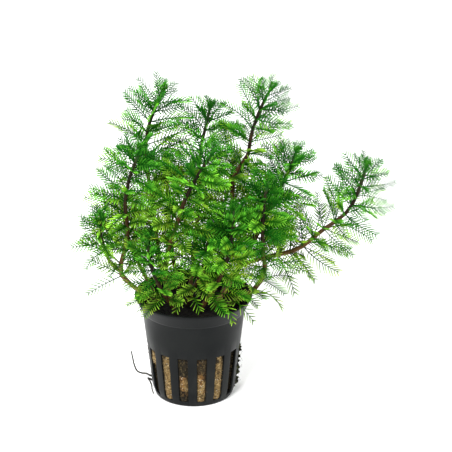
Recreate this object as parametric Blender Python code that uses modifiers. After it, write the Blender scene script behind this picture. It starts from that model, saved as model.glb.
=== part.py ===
# Feather-leaved stem plant in its pot: a slotted net pot, a mineral wool plug and planted shoots.
# Every shoot is one grown piece, its stem and its leaf blades in a single closed solid.
# Units are metres, +Z is up, and the origin is the centre of the pot's base.

import math
import random

import bmesh
import bpy
import numpy as np
from mathutils import Matrix, Vector
from mathutils.bvhtree import BVHTree

MM = 0.001
CLEARANCE = 0.3 * MM

# Pot
POT_HEIGHT = 50.0 * MM
LIP_RADIUS = 27.5 * MM
COLLAR_RADIUS = 24.4 * MM
COLLAR_BOTTOM = 43.4 * MM
BODY_TOP_RADIUS = 24.0 * MM
BODY_TOP = 42.9 * MM
BODY_MID_RADIUS = 22.0 * MM
BODY_MID = 26.0 * MM
BODY_LOW_RADIUS = 19.9 * MM
BODY_LOW = 5.5 * MM
BASE_RADIUS = 18.2 * MM
POT_WALL = 0.9 * MM
LIP_WALL = 0.8 * MM
FLOOR_THICKNESS = 1.2 * MM
POT_FACETS = 32

# Slots in the pot's wall and floor
SLOT_COUNT = 15
SLOT_FIRST_DEG = 10.8
SLOT_TOP = 26.0 * MM
SLOT_BOTTOM = 2.6 * MM
SLOT_TOP_WIDTH = 4.8 * MM
SLOT_BOTTOM_WIDTH = 4.3 * MM
FLOOR_SLOT_COUNT = 8
FLOOR_SLOT_WIDTH = 3.0 * MM
FLOOR_SLOT_INNER = 8.0 * MM
FLOOR_SLOT_OUTER = 15.0 * MM

# Mineral wool plug
WOOL_TOP = 44.0 * MM
WOOL_FACETS = 24
WOOL_LUMP = 0.7 * MM
POCKET_SIDES = 6
POCKET_ROOM = 0.85 * MM

# Stems
STEM_SIDES = 4
STEM_TWIST = math.radians(180 / STEM_SIDES)
STEM_STEP = 8.0 * MM
NODE_BAND = 1.1 * MM
TUFT_HEIGHT = 5.0 * MM

# Leaves: a whorl of one blade a side, closer together and more upright towards the shoot's tip,
# each turned on its stalk so that its face looks towards the light
FIRST_WHORL = 1.0 * MM
WHORL_GAP = (2.5 * MM, 6.9 * MM)
WHORL_GAP_FADE = 15.0 * MM
LEAF_LENGTH = (3.4 * MM, 19.5 * MM)
LEAF_LENGTH_FADE = 7.5 * MM
LEAF_TILT = (math.radians(20), math.radians(68))
LEAF_TILT_FADE = 6.5 * MM
LEAF_WIDTH_SHARE = 0.34
LEAF_WIDEST_SHARE = 0.56
LEAF_FOLD_SHARE = 0.07
LEAF_DROOP = 0.22
LIGHT = (0.0, -0.85, 0.53)
LIGHT_TURN = 0.75
LEAF_GAP = 0.4 * MM
LEAF_ROOT_SHARE = 0.16
LEAF_ROOT = 1.2 * MM
LEAF_TRIES = 26
FACE_SHRINK = 0.94

# Draped leaves: the low ones that arch over and hang down
DRAPE_WIDTH = 5.4 * MM
DRAPE_THICKNESS = 0.5 * MM

# Shoots: the points that each stem passes through, in mm, from its cut end to the top of its tuft,
# its radius at both ends, the length of bare stem above its cut end, its leaves' vigour,
# and its draped leaves: how far along the stem each one grows, where it turns down, and its tip
SHOOTS = {
    "shoot_left": {
        "route": [(-16, 0, 36), (-16, 0, 44), (-22, 0, 49), (-28, -1, 54), (-34, -2, 62), (-33, -3, 68),
                  (-30, -4, 82), (-31, -5, 97), (-28, -6, 113), (-25, -7, 121), (-23, -8, 130)],
        "radius": (1.35, 0.7), "bare": 27, "vigour": 1,
        "draped": [(13.5, (-22.5, -14, 53.5), (-24.5, -17.5, 48.2))]},
    "shoot_back_right_tall": {
        "route": [(8, 10, 36), (8, 10, 44), (13, 11, 62), (17, 13, 74), (18, 15, 89), (19, 16, 103),
                  (25, 17, 112), (27, 18, 123), (31, 18, 135), (38, 18, 149.5)],
        "radius": (1.4, 0.7), "bare": 30, "vigour": 1.06},
    "shoot_back_left_tall": {
        "route": [(-12, 9, 36), (-12, 9, 44), (-16, 12, 62), (-19, 15, 88), (-22, 19, 112), (-21, 20, 124),
                  (-17, 22, 135), (-12, 22, 147.5)],
        "radius": (1.4, 0.7), "bare": 30, "vigour": 1.1},
    "shoot_far_right": {
        "route": [(12, 5, 36), (12, 5, 44), (16, 6, 53), (22, 6, 61), (33, 5, 66), (48, 3, 71), (59, 1, 81),
                  (71, -1, 92), (77, -3, 107), (80, -4, 121)],
        "radius": (1.35, 0.75), "bare": 40, "vigour": 1},
    "shoot_centre": {
        "route": [(-10, -3, 36), (-10, -3, 44), (-13, -4, 60), (-12, -6, 73), (-8, -8, 86), (-4, -10, 100),
                  (1, -11, 111), (6, -12, 120), (12, -12, 131)],
        "radius": (1.4, 0.7), "bare": 20, "vigour": 1},
    "shoot_front_right": {
        "route": [(15, -5, 36), (15, -5, 44), (20, -5, 49), (26, -5, 52.5), (31, -5, 58),
                  (33, -6, 65), (32, -9, 78), (32, -12, 94), (33, -13, 105), (36, -14, 117)],
        "radius": (1.35, 0.7), "bare": 22, "vigour": 0.95,
        "draped": [(12.5, (22, -17.5, 51.6), (28, -15.5, 42.5)),
                   (15.0, (25.8, -11, 52), (29.8, -12, 49)),
                   (20.5, (32, -7, 53.6), (41, -9, 46))]},
    "shoot_right": {
        "route": [(9, -6, 36), (9, -6, 44), (15, -5, 54), (22, -2, 65), (29, 0, 79), (34, 0, 91),
                  (40, 0, 103), (44, 0, 112), (49, 0, 126)],
        "radius": (1.35, 0.7), "bare": 26, "vigour": 1.04},
    "shoot_back_centre_tall": {
        "route": [(-2, 12, 36), (-2, 12, 44), (0, 16, 60), (2, 22, 84), (3, 28, 109), (6, 30, 123),
                  (9, 32, 136)],
        "radius": (1.35, 0.7), "bare": 26, "vigour": 1},
    "side_branch_left": {
        "route": [(-35.7, -2.6, 64), (-38, -4, 67), (-40, -6, 73), (-42, -9, 82), (-42, -12, 92),
                  (-42, -13, 100)],
        "radius": (1.0, 0.6), "bare": 11, "vigour": 0.8},
    "shoot_front_centre": {
        "route": [(-3, -2, 36), (-3, -2, 44), (-1, -4, 52), (2, -8, 60), (5, -12, 71), (7, -15, 83),
                  (7, -16, 94)],
        "radius": (1.3, 0.6), "bare": 17, "vigour": 0.9,
        "draped": [(13.5, (-4, -14, 55.5), (-8, -22, 50.3))]},
    "shoot_front_right_inner": {
        "route": [(3, -9, 36), (3, -9, 44), (9, -13, 57), (15, -17, 72), (18, -19, 88), (19, -20, 106)],
        "radius": (1.3, 0.6), "bare": 19, "vigour": 0.92,
        "draped": [(12.5, (1, -18, 55), (3.5, -23.5, 51.5)),
                   (16.0, (16, -22.5, 52.4), (18.3, -24.7, 46))]},
    "shoot_front_left": {
        "route": [(-8, -10, 36), (-8, -10, 44), (-14, -14, 57), (-19, -17, 71), (-21, -19, 90)],
        "radius": (1.25, 0.6), "bare": 18, "vigour": 0.9},
    "shoot_left_back": {
        "route": [(-17, 6, 36), (-17, 6, 44), (-24, 11, 56), (-31, 18, 72), (-35, 22, 92)],
        "radius": (1.25, 0.6), "bare": 30, "vigour": 0.95},
    "shoot_back_left": {
        "route": [(-7, 15, 36), (-7, 15, 44), (-10, 21, 60), (-12, 29, 84), (-13, 32, 110)],
        "radius": (1.3, 0.6), "bare": 24, "vigour": 1},
    "shoot_back_centre": {
        "route": [(3, 16, 36), (3, 16, 44), (8, 24, 60), (15, 32, 84), (20, 36, 106)],
        "radius": (1.3, 0.6), "bare": 24, "vigour": 1},
    "shoot_back_right": {
        "route": [(14, 12, 36), (14, 12, 44), (22, 20, 57), (33, 27, 74), (40, 31, 94)],
        "radius": (1.3, 0.6), "bare": 26, "vigour": 1},
}

# Stray roots that have grown out of a slot at the pot's left, as points in mm
ROOTS = {
    "stray_root_long": {
        "route": [(-19.0, -2.2, 7.9), (-20.9, -2.4, 8.7), (-22.4, -2.0, 9.3), (-24.6, -1.6, 9.4),
                  (-26.6, -1.2, 10.2), (-27.9, -0.9, 12.8), (-28.8, -0.8, 17.0), (-29.4, -0.7, 20.3)],
        "radius": 0.32},
    "stray_root_short": {
        "route": [(-19.1, -2.6, 6.0), (-20.9, -3.2, 7.2), (-21.5, -5.2, 8.4), (-20.5, -7.4, 7.8),
                  (-19.8, -8.1, 6.2), (-19.6, -8.8, 4.6), (-18.9, -9.8, 2.6)],
        "radius": 0.3},
}

# Colours: base colour, roughness
POT_FINISH = ((0.030, 0.032, 0.034), 0.42)
WOOL_FINISH = ((0.36, 0.23, 0.09), 0.95)
SHOOT_FINISH = ((0.09, 0.33, 0.04), 0.55)
ROOT_FINISH = ((0.10, 0.09, 0.06), 0.7)


def clear_scene():
    for obj in list(bpy.data.objects):
        bpy.data.objects.remove(obj, do_unlink=True)


def new_collection(name, hidden):
    collection = bpy.data.collections.new(name)
    bpy.context.scene.collection.children.link(collection)
    collection.hide_render = hidden
    return collection


def new_material(name, finish):
    color, roughness = finish
    material = bpy.data.materials.new(name)
    material.use_nodes = True
    shader = material.node_tree.nodes["Principled BSDF"]
    shader.inputs["Base Color"].default_value = (*color, 1)
    shader.inputs["Roughness"].default_value = roughness
    shader.inputs["Metallic"].default_value = 0.0
    return material


def new_object(name, mesh, collection, material=None):
    obj = bpy.data.objects.new(name, mesh)
    collection.objects.link(obj)
    if material:
        mesh.materials.append(material)
    return obj


def mesh_of(bm, name):
    mesh = bpy.data.meshes.new(name)
    bm.to_mesh(mesh)
    bm.free()
    return mesh


def cut(obj, cutter):
    modifier = obj.modifiers.new(cutter.name, "BOOLEAN")
    modifier.operation = "DIFFERENCE"
    modifier.solver = "EXACT"
    modifier.object = cutter


def hide_cutter(cutter):
    cutter.hide_render = True
    cutter.display_type = "WIRE"


# Pot

def wall_outline():
    """The pot's outside from the lip down to the base, as radius and height."""
    return [
        (LIP_RADIUS, POT_HEIGHT),
        (COLLAR_RADIUS, COLLAR_BOTTOM),
        (BODY_TOP_RADIUS, BODY_TOP),
        (BODY_MID_RADIUS, BODY_MID),
        (BODY_LOW_RADIUS, BODY_LOW),
        (BASE_RADIUS, 0.0),
    ]


def inner_radius(height):
    """The radius of the pot's inside at a height above its floor."""
    outline = wall_outline()
    for (upper_r, upper_z), (lower_r, lower_z) in zip(outline, outline[1:]):
        if height >= lower_z:
            share = (height - lower_z) / (upper_z - lower_z)
            return lower_r + (upper_r - lower_r) * share - POT_WALL
    return BASE_RADIUS - POT_WALL


def turned_object(name, outline, facets, collection, material):
    bm = bmesh.new()
    points = [bm.verts.new((radius, 0, height)) for radius, height in outline]
    for first, second in zip(points, points[1:]):
        bm.edges.new((first, second))
    obj = new_object(name, mesh_of(bm, name), collection, material)
    screw = obj.modifiers.new("Turn", "SCREW")
    screw.axis = "Z"
    screw.steps = facets
    screw.render_steps = facets
    screw.use_merge_vertices = True
    screw.merge_threshold = 0.01 * MM
    return obj


def radial_cutter(name, count, first_deg, corners, collection):
    """Boxes spread evenly round the axis. corners gives a box's eight corners for azimuth zero."""
    bm = bmesh.new()
    for i in range(count):
        box = bmesh.ops.create_cube(bm, size=2.0)["verts"]
        turn = Matrix.Rotation(math.radians(first_deg + i * 360 / count), 4, "Z")
        for vert in box:
            vert.co = turn @ corners(vert.co)
    cutter = new_object(name, mesh_of(bm, name), collection)
    hide_cutter(cutter)
    return cutter


def wall_slot_corner(unit):
    top = unit.z > 0
    radius = (LIP_RADIUS + BODY_LOW_RADIUS) / 2 if unit.x > 0 else BASE_RADIUS - 3 * POT_WALL
    width = SLOT_TOP_WIDTH if top else SLOT_BOTTOM_WIDTH
    return Vector((radius, unit.y * width / 2, SLOT_TOP if top else SLOT_BOTTOM))


def floor_slot_corner(unit):
    radius = FLOOR_SLOT_OUTER if unit.x > 0 else FLOOR_SLOT_INNER
    return Vector((radius, unit.y * FLOOR_SLOT_WIDTH / 2, unit.z * 2 * FLOOR_THICKNESS))


def make_pot(parts, cutters):
    outside = wall_outline()
    inside = [
        (0.0, FLOOR_THICKNESS),
        (BASE_RADIUS - POT_WALL / 2, FLOOR_THICKNESS),
        (BODY_LOW_RADIUS - POT_WALL, BODY_LOW),
        (BODY_MID_RADIUS - POT_WALL, BODY_MID),
        (BODY_TOP_RADIUS - POT_WALL, BODY_TOP),
        (LIP_RADIUS - LIP_WALL, POT_HEIGHT),
    ]
    outline = [(LIP_RADIUS - LIP_WALL, POT_HEIGHT)] + outside + [(0.0, 0.0)] + inside[:-1]
    outline.append(outline[0])
    pot = turned_object("pot", outline, POT_FACETS, parts, new_material("pot_plastic", POT_FINISH))
    first = -90 + SLOT_FIRST_DEG
    cut(pot, radial_cutter("wall_slots", SLOT_COUNT, first, wall_slot_corner, cutters))
    cut(pot, radial_cutter("floor_slots", FLOOR_SLOT_COUNT, 0, floor_slot_corner, cutters))
    return pot


# Mineral wool plug

def make_plug(parts, cutters):
    gap = 2 * CLEARANCE
    bottom = FLOOR_THICKNESS + CLEARANCE
    heights = [WOOL_TOP, BODY_MID, BODY_LOW, bottom]
    side = [(inner_radius(z) - gap, z) for z in heights]
    top = [(0.0, WOOL_TOP), (side[0][0] * 0.4, WOOL_TOP), (side[0][0] * 0.75, WOOL_TOP)]
    outline = top + side + [(0.0, bottom)]
    material = new_material("mineral_wool", WOOL_FINISH)
    plug = turned_object("wool_plug", outline, WOOL_FACETS, parts, material)
    bm = bmesh.new()
    bm.from_mesh(evaluated_mesh(plug))
    rng = random.Random(11)
    for vert in bm.verts:
        radius = math.hypot(vert.co.x, vert.co.y)
        if vert.co.z > WOOL_TOP - CLEARANCE and radius < side[0][0] * 0.9:
            vert.co.z += rng.uniform(-WOOL_LUMP, WOOL_LUMP)
    plug.modifiers.clear()
    bm.to_mesh(plug.data)
    bm.free()
    pockets = bmesh.new()
    for shoot in SHOOTS.values():
        foot = Vector(shoot["route"][0]) * MM
        if foot.z > WOOL_TOP:
            continue
        radius = shoot["radius"][0] * MM + POCKET_ROOM
        depth = WOOL_TOP - foot.z + CLEARANCE
        place = Matrix.Translation((foot.x, foot.y, WOOL_TOP))
        bmesh.ops.create_cone(pockets, cap_ends=True, segments=POCKET_SIDES, radius1=radius, radius2=radius,
                              depth=2 * depth, matrix=place)
    cutter = new_object("stem_pockets", mesh_of(pockets, "stem_pockets"), cutters)
    hide_cutter(cutter)
    cut(plug, cutter)
    return plug


def evaluated_mesh(obj):
    graph = bpy.context.evaluated_depsgraph_get()
    return bpy.data.meshes.new_from_object(obj.evaluated_get(graph))


# Stems

class StemPath:
    """A smooth centre line through route points, read by length along it, that ends below a tuft."""

    def __init__(self, route, tuft=0.0):
        points = [Vector(point) * MM for point in route]
        before = points[0] * 2 - points[1]
        after = points[-1] * 2 - points[-2]
        points = [before] + points + [after]
        self.samples = []
        for p0, p1, p2, p3 in zip(points, points[1:], points[2:], points[3:]):
            for step in range(16):
                self.samples.append(catmull_rom(p0, p1, p2, p3, step / 16))
        self.samples.append(points[-2])
        self.lengths = [0.0]
        for first, second in zip(self.samples, self.samples[1:]):
            self.lengths.append(self.lengths[-1] + (second - first).length)
        self.length = self.lengths[-1] - tuft

    def point(self, along):
        along = min(max(along, 0.0), self.length)
        for i in range(1, len(self.lengths)):
            if along <= self.lengths[i]:
                share = (along - self.lengths[i - 1]) / (self.lengths[i] - self.lengths[i - 1])
                return self.samples[i - 1].lerp(self.samples[i], share)
        return self.samples[-1]

    def tangent(self, along):
        reach = 1.5 * MM
        return (self.point(along + reach) - self.point(along - reach)).normalized()


def catmull_rom(p0, p1, p2, p3, t):
    """A point on the centripetal curve between p1 and p2."""
    k1 = max((p1 - p0).length, 1e-6) ** 0.5
    k2 = k1 + max((p2 - p1).length, 1e-6) ** 0.5
    k3 = k2 + max((p3 - p2).length, 1e-6) ** 0.5
    k = k1 + (k2 - k1) * t
    a1 = p0 * ((k1 - k) / k1) + p1 * (k / k1)
    a2 = p1 * ((k2 - k) / (k2 - k1)) + p2 * ((k - k1) / (k2 - k1))
    a3 = p2 * ((k3 - k) / (k3 - k2)) + p3 * ((k - k2) / (k3 - k2))
    b1 = a1 * ((k2 - k) / k2) + a2 * (k / k2)
    b2 = a2 * ((k3 - k) / (k3 - k1)) + a3 * ((k - k1) / (k3 - k1))
    return b1 * ((k2 - k) / (k2 - k1)) + b2 * ((k - k1) / (k2 - k1))


def faded(limits, fade, distance):
    """A size that goes from its value at a shoot's tip to its full value further down."""
    return limits[0] + (limits[1] - limits[0]) * (1 - math.exp(-distance / fade))


def whorl_stations(length, bare):
    """Distances below the tip at which a whorl of leaves stands."""
    stations = []
    below = FIRST_WHORL
    while below < length - bare:
        stations.append(below)
        below += faded(WHORL_GAP, WHORL_GAP_FADE, below)
    return stations


def across(tangent, angle):
    """A unit vector at right angles to a stem, turned by angle round it."""
    side = tangent.cross(Vector((0, 1, 0))).normalized()
    other = tangent.cross(side)
    return side * math.cos(angle) + other * math.sin(angle)


def stem_rings(shoot, rng):
    """The stem's cross-sections from its cut end up, and the whorls between two of them."""
    path = StemPath(shoot["route"], TUFT_HEIGHT)
    base_radius, tip_radius = (radius * MM for radius in shoot["radius"])
    turn = rng.uniform(0, STEM_TWIST)
    stations = whorl_stations(path.length, shoot["bare"] * MM)
    lowest = path.length - stations[-1]
    bare_count = max(2, round(lowest / STEM_STEP))
    places = [(lowest * i / bare_count, None, None) for i in range(bare_count)]
    places += [(path.length - below, below, None) for below in stations]
    for along, turning, leaf_tip in shoot.get("draped", []):
        places.append((along * MM, None, (Vector(turning) * MM, Vector(leaf_tip) * MM)))
    places.sort(key=lambda place: place[0])
    rings = []
    whorls = []
    for i, (along, below, drape) in enumerate(places):
        angle = turn + i * STEM_TWIST
        share = along / path.length
        radius = base_radius + (tip_radius - base_radius) * share
        band = NODE_BAND * radius / base_radius if below or drape else 0.0
        for offset in ((-band / 2, band / 2) if band else (0.0,)):
            centre = path.point(along + offset)
            tangent = path.tangent(along + offset)
            rings.append([
                centre + across(tangent, angle + side * math.tau / STEM_SIDES) * radius
                for side in range(STEM_SIDES)
            ])
        if band:
            whorls.append({"ring": len(rings) - 2, "below": below, "drape": drape,
                           "tangent": path.tangent(along), "centre": path.point(along)})
    return rings, whorls, path.point(path.length)


# Leaves

BLADE_FACES = [(3, 2, 6), (3, 6, 4), (2, 5, 6), (1, 0, 6), (0, 4, 6), (1, 6, 5), (3, 4, 0), (1, 5, 2)]
DRAPE_FACES = [(0, 1, 8), (1, 5, 8), (1, 2, 5), (2, 7, 5), (2, 3, 7), (3, 4, 7), (3, 0, 4), (0, 8, 4),
               (4, 8, 6), (8, 5, 6), (5, 7, 6), (7, 4, 6)]


def blade(corners, direction, upper, length, width, fold):
    """Right edge, left edge and tip of a leaf that grows out of the four corners of a stem facet."""
    root = sum(corners, Vector()) / len(corners)
    sideways = upper.cross(direction).normalized()
    widest = root + direction * (length * LEAF_WIDEST_SHARE) + upper * fold
    return widest - sideways * width / 2, widest + sideways * width / 2, root + direction * length


def quarter_turns(facet, points, faces):
    """How far to go round a facet's corners so that a leaf's sides meet them without crossing, or None."""
    right, left = points[:2]

    def match(turns):
        c = facet[turns:] + facet[:turns]
        return (c[1] + c[2] - c[0] - c[3]).normalized().dot(left - right)

    for turns in sorted(range(4), key=match, reverse=True)[:2]:
        if not crosses_itself(facet[turns:] + facet[:turns] + list(points), faces):
            return turns
    return None


def draped_blade(corners, turning, tip):
    """The same three points of a leaf that turns down, then its ridge's upper and lower point."""
    root = sum(corners, Vector()) / len(corners)
    direction = (tip - root).normalized()
    sideways = Vector((0, 0, 1)).cross(direction).normalized()
    upper = direction.cross(sideways)
    half_width = sideways * DRAPE_WIDTH / 2
    half_thickness = upper * DRAPE_THICKNESS / 2
    return [turning - half_width, turning + half_width, tip, turning + half_thickness,
            turning - half_thickness]


def leaf_pose(whorl, corners, rng, attempt, vigour):
    """A leaf's direction, upper side and size. Later attempts swing it further aside and shorten it."""
    below = whorl["below"]
    root = sum(corners, Vector()) / len(corners)
    tangent = whorl["tangent"]
    outward = root - whorl["centre"]
    outward = (outward - tangent * outward.dot(tangent)).normalized()
    age = 1 - math.exp(-below / LEAF_TILT_FADE)
    spread = 1 + attempt * 0.16
    tilt = faded(LEAF_TILT, LEAF_TILT_FADE, below)
    tilt += rng.uniform(-1, 1) * math.radians(3 + 6 * age) * spread
    swing = rng.uniform(-1, 1) * math.radians(2 + 9 * age) * spread
    roll = rng.uniform(-1, 1) * math.radians(8 + 22 * age)
    length = faded(LEAF_LENGTH, LEAF_LENGTH_FADE, below) * rng.uniform(0.9, 1.07) * vigour
    length *= 1 - 0.018 * attempt
    outward = Matrix.Rotation(swing, 3, tangent) @ outward
    direction = tangent * math.cos(tilt) + outward * math.sin(tilt)
    direction.z -= LEAF_DROOP * age * (1 - abs(direction.z)) * rng.uniform(0.3, 1.0)
    direction.normalize()
    upper = tangent.lerp(Vector(LIGHT), LIGHT_TURN)
    upper = (upper - direction * upper.dot(direction)).normalized()
    upper = Matrix.Rotation(roll, 3, direction) @ upper
    width = length * LEAF_WIDTH_SHARE * (1 - 0.01 * attempt)
    return direction, upper, length, width, length * LEAF_FOLD_SHARE


def ball_round(points):
    """Centre and radius of a ball that holds the points."""
    array = np.array(points)
    centre = (array.min(axis=0) + array.max(axis=0)) / 2
    return centre, np.linalg.norm(array - centre, axis=1).max()


class Crowd:
    """The solids that a new leaf has to stay clear of, each with its shoot and the ball that holds it."""

    def __init__(self):
        self.centres = np.empty((0, 3))
        self.reaches = np.empty(0)
        self.owners = []
        self.trees = []

    def add(self, owner, points, faces):
        centre, reach = ball_round(points)
        self.centres = np.vstack([self.centres, centre])
        self.reaches = np.append(self.reaches, reach)
        self.owners.append(owner)
        self.trees.append(BVHTree.FromPolygons(points, faces))

    def meets(self, points, faces, besides=None):
        """True where the faces cut through anything that doesn't belong to the shoot named by besides."""
        centre, reach = ball_round(points)
        near = np.linalg.norm(self.centres - centre, axis=1) < self.reaches + reach
        tree = BVHTree.FromPolygons(points, faces)
        others = [i for i in np.nonzero(near)[0] if self.owners[i] != besides]
        return any(self.trees[i].overlap(tree) for i in others)


def ring_prism(lower, upper):
    count = len(lower)
    faces = [(i, (i + 1) % count, count + (i + 1) % count, count + i) for i in range(count)]
    return lower + upper, faces


def shrunk(points, faces):
    """The faces drawn in a little, so that one that only shares an edge with another doesn't meet it."""
    corners = []
    for face in faces:
        centre = sum((points[i] for i in face), Vector()) / len(face)
        corners += [centre.lerp(points[i], FACE_SHRINK) for i in face]
    return corners, [(i, i + 1, i + 2) for i in range(0, len(corners), 3)]


def crosses_itself(points, faces):
    tree = BVHTree.FromPolygons(*shrunk(points, faces))
    return any(first != second for first, second in tree.overlap(tree))


def leaf_envelope(corners, edges_and_tip, direction, upper, skip):
    """Two skins just above and below a leaf, from a distance of skip out of the stem to past its tip."""
    right, left, tip = edges_and_tip
    start = sum(corners, Vector()) / len(corners) + direction * skip
    sideways = (left - right).normalized()
    wide_left = left + sideways * LEAF_GAP
    wide_right = right - sideways * LEAF_GAP
    far = tip + direction * LEAF_GAP
    points = []
    faces = []
    for side in (1, -1):
        lift = upper * (LEAF_GAP * side)
        first = len(points)
        points += [start + lift * 1.6, wide_left + lift, far + lift, wide_right + lift]
        faces += [(first, first + 2, first + 1), (first, first + 3, first + 2)]
    faces += [(0, 1, 5, 4), (1, 2, 6, 5), (2, 3, 7, 6), (3, 0, 4, 7)]
    return points, faces


def stays_out_of_pot(points):
    """True where a leaf is above the wool and inside the rim, or clear outside the wall."""
    for point in points:
        radius = math.hypot(point.x, point.y)
        if point.z < POT_HEIGHT + 1.0 * MM and radius < LIP_RADIUS + 1.0 * MM:
            return False
    return True


def grow_leaves(stems):
    """Chooses every leaf in turn, so that none meets a stem, the pot or a leaf already grown."""
    crowd = Crowd()
    for name, (rings, _, tip) in stems.items():
        for lower, upper in zip(rings, rings[1:]):
            crowd.add(name, *ring_prism(lower, upper))
        crowd.add(name, *ring_prism(rings[-1], [tip] * STEM_SIDES))
    leaves = {}
    for name, (rings, whorls, _) in stems.items():
        leaves[name] = {}
        for whorl in whorls:
            if whorl["drape"]:
                turning, leaf_tip = whorl["drape"]
                facets = [facet_corners(rings, whorl["ring"], side) for side in range(STEM_SIDES)]
                side = max(range(STEM_SIDES), key=lambda side: facing(facets[side], whorl, turning))
                points = draped_blade(facets[side], turning, leaf_tip)
                turns = quarter_turns(facets[side], points, DRAPE_FACES) or 0
                corners = facets[side][turns:] + facets[side][:turns]
                crowd.add(name, corners + points, DRAPE_FACES)
                leaves[name][(whorl["ring"], side)] = turns, points
    for number, (name, (rings, whorls, _)) in enumerate(stems.items()):
        rng = random.Random(100 + number)
        vigour = SHOOTS[name]["vigour"]
        for whorl in reversed(whorls):
            if whorl["drape"]:
                continue
            for side in range(STEM_SIDES):
                facet = facet_corners(rings, whorl["ring"], side)
                found = grow_leaf(name, whorl, facet, crowd, rng, vigour)
                if found:
                    leaves[name][(whorl["ring"], side)] = found
    return leaves


def facet_corners(rings, ring, side):
    """The four corners of a stem facet between a ring and the next, the lower ones first."""
    after = (side + 1) % STEM_SIDES
    lower, upper = rings[ring], rings[ring + 1]
    return [lower[side], lower[after], upper[after], upper[side]]


def facing(corners, whorl, target):
    """How squarely a stem facet faces a point."""
    root = sum(corners, Vector()) / len(corners)
    return (root - whorl["centre"]).normalized().dot((target - root).normalized())


def grow_leaf(name, whorl, facet, crowd, rng, vigour):
    """The quarter turns and points of a leaf's first pose that is clear of the rest, or None."""
    for attempt in range(LEAF_TRIES):
        direction, upper, length, width, fold = leaf_pose(whorl, facet, rng, attempt, vigour)
        points = blade(facet, direction, upper, length, width, fold)
        turns = quarter_turns(facet, points, BLADE_FACES)
        if turns is None:
            continue
        corners = facet[turns:] + facet[:turns]
        if not stays_out_of_pot(points):
            continue
        skip = max(length * LEAF_ROOT_SHARE, LEAF_ROOT)
        if crowd.meets(*leaf_envelope(corners, points, direction, upper, skip)):
            continue
        if crowd.meets(*leaf_envelope(corners, points, direction, upper, 0.0), besides=name):
            continue
        if crowd.meets(*shrunk(corners + list(points), BLADE_FACES)):
            continue
        crowd.add(name, corners + list(points), BLADE_FACES)
        return turns, points
    return None


def make_shoot(name, rings, leaves, tip, parts, material):
    """One closed mesh: the stem's rings joined up, with a leaf in place of each facet that bears one."""
    bm = bmesh.new()
    layers = [[bm.verts.new(point) for point in ring] for ring in rings]
    top = bm.verts.new(tip)
    bm.faces.new(layers[0][::-1])
    for i, (lower, upper) in enumerate(zip(layers, layers[1:])):
        for side in range(STEM_SIDES):
            facet = facet_corners(layers, i, side)
            if (i, side) in leaves:
                turns, points = leaves[(i, side)]
                verts = facet[turns:] + facet[:turns] + [bm.verts.new(point) for point in points]
                for face in BLADE_FACES if len(verts) == 7 else DRAPE_FACES:
                    bm.faces.new([verts[k] for k in face])
            else:
                bm.faces.new(facet)
    for side in range(STEM_SIDES):
        bm.faces.new((layers[-1][side], layers[-1][(side + 1) % STEM_SIDES], top))
    bmesh.ops.triangulate(bm, faces=[face for face in bm.faces if len(face.verts) > 3])
    bmesh.ops.recalc_face_normals(bm, faces=bm.faces)
    if bm.calc_volume(signed=True) < 0:
        bmesh.ops.reverse_faces(bm, faces=bm.faces)
    return new_object(name, mesh_of(bm, name), parts, material)


# Stray roots

def make_root(name, root, parts, material):
    curve = bpy.data.curves.new(name, "CURVE")
    curve.dimensions = "3D"
    curve.bevel_depth = root["radius"] * MM
    curve.bevel_resolution = 1
    curve.use_fill_caps = True
    spline = curve.splines.new("POLY")
    path = StemPath(root["route"])
    count = 2 * len(root["route"])
    spline.points.add(count - 1)
    for i, point in enumerate(spline.points):
        point.co = (*path.point(path.length * i / (count - 1)), 1)
    obj = bpy.data.objects.new(name, curve)
    parts.objects.link(obj)
    curve.materials.append(material)
    return obj


def main():
    clear_scene()
    parts = new_collection("potted_feather_leaved_plant", hidden=False)
    cutters = new_collection("cutters", hidden=True)
    make_pot(parts, cutters)
    make_plug(parts, cutters)
    shoot_material = new_material("shoot_green", SHOOT_FINISH)
    stems = {}
    for number, (name, shoot) in enumerate(SHOOTS.items()):
        stems[name] = stem_rings(shoot, random.Random(number))
    leaves = grow_leaves(stems)
    for name, (rings, _, tip) in stems.items():
        make_shoot(name, rings, leaves[name], tip, parts, shoot_material)
    root_material = new_material("root_brown", ROOT_FINISH)
    for name, root in ROOTS.items():
        make_root(name, root, parts, root_material)
    return leaves


main()
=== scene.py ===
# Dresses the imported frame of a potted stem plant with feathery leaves: needle-leaved shoots,
# a slotted net pot, a mineral wool plug and two stray roots. Sizes ending in Mm are millimetres.

import math
import random

import bmesh
import bpy
from mathutils import Matrix, Vector
from mathutils.kdtree import KDTree


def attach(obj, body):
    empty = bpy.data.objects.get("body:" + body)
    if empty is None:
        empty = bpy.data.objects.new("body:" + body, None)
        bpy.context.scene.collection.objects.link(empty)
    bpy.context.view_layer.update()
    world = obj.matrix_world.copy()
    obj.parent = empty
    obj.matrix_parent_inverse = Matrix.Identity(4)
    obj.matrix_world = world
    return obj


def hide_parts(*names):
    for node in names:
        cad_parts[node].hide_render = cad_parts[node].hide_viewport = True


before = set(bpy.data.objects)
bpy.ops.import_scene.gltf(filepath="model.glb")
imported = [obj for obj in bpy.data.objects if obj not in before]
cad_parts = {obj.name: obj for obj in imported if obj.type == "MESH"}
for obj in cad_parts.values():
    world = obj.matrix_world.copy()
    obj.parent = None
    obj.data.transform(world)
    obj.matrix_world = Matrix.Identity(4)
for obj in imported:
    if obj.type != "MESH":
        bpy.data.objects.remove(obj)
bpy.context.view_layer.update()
mm = 0.001
yAxis = Vector((0, 1, 0))
print("frame:", len(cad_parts), "nodes")


# Small helpers for node trees

def addNode(tree, kind, inputs=None, **settings):
    made = tree.nodes.new(kind)
    for name, value in settings.items():
        setattr(made, name, value)
    for place, value in (inputs or {}).items():
        if isinstance(value, bpy.types.NodeSocket):
            tree.links.new(value, made.inputs[place])
        else:
            made.inputs[place].default_value = value
    return made


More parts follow.
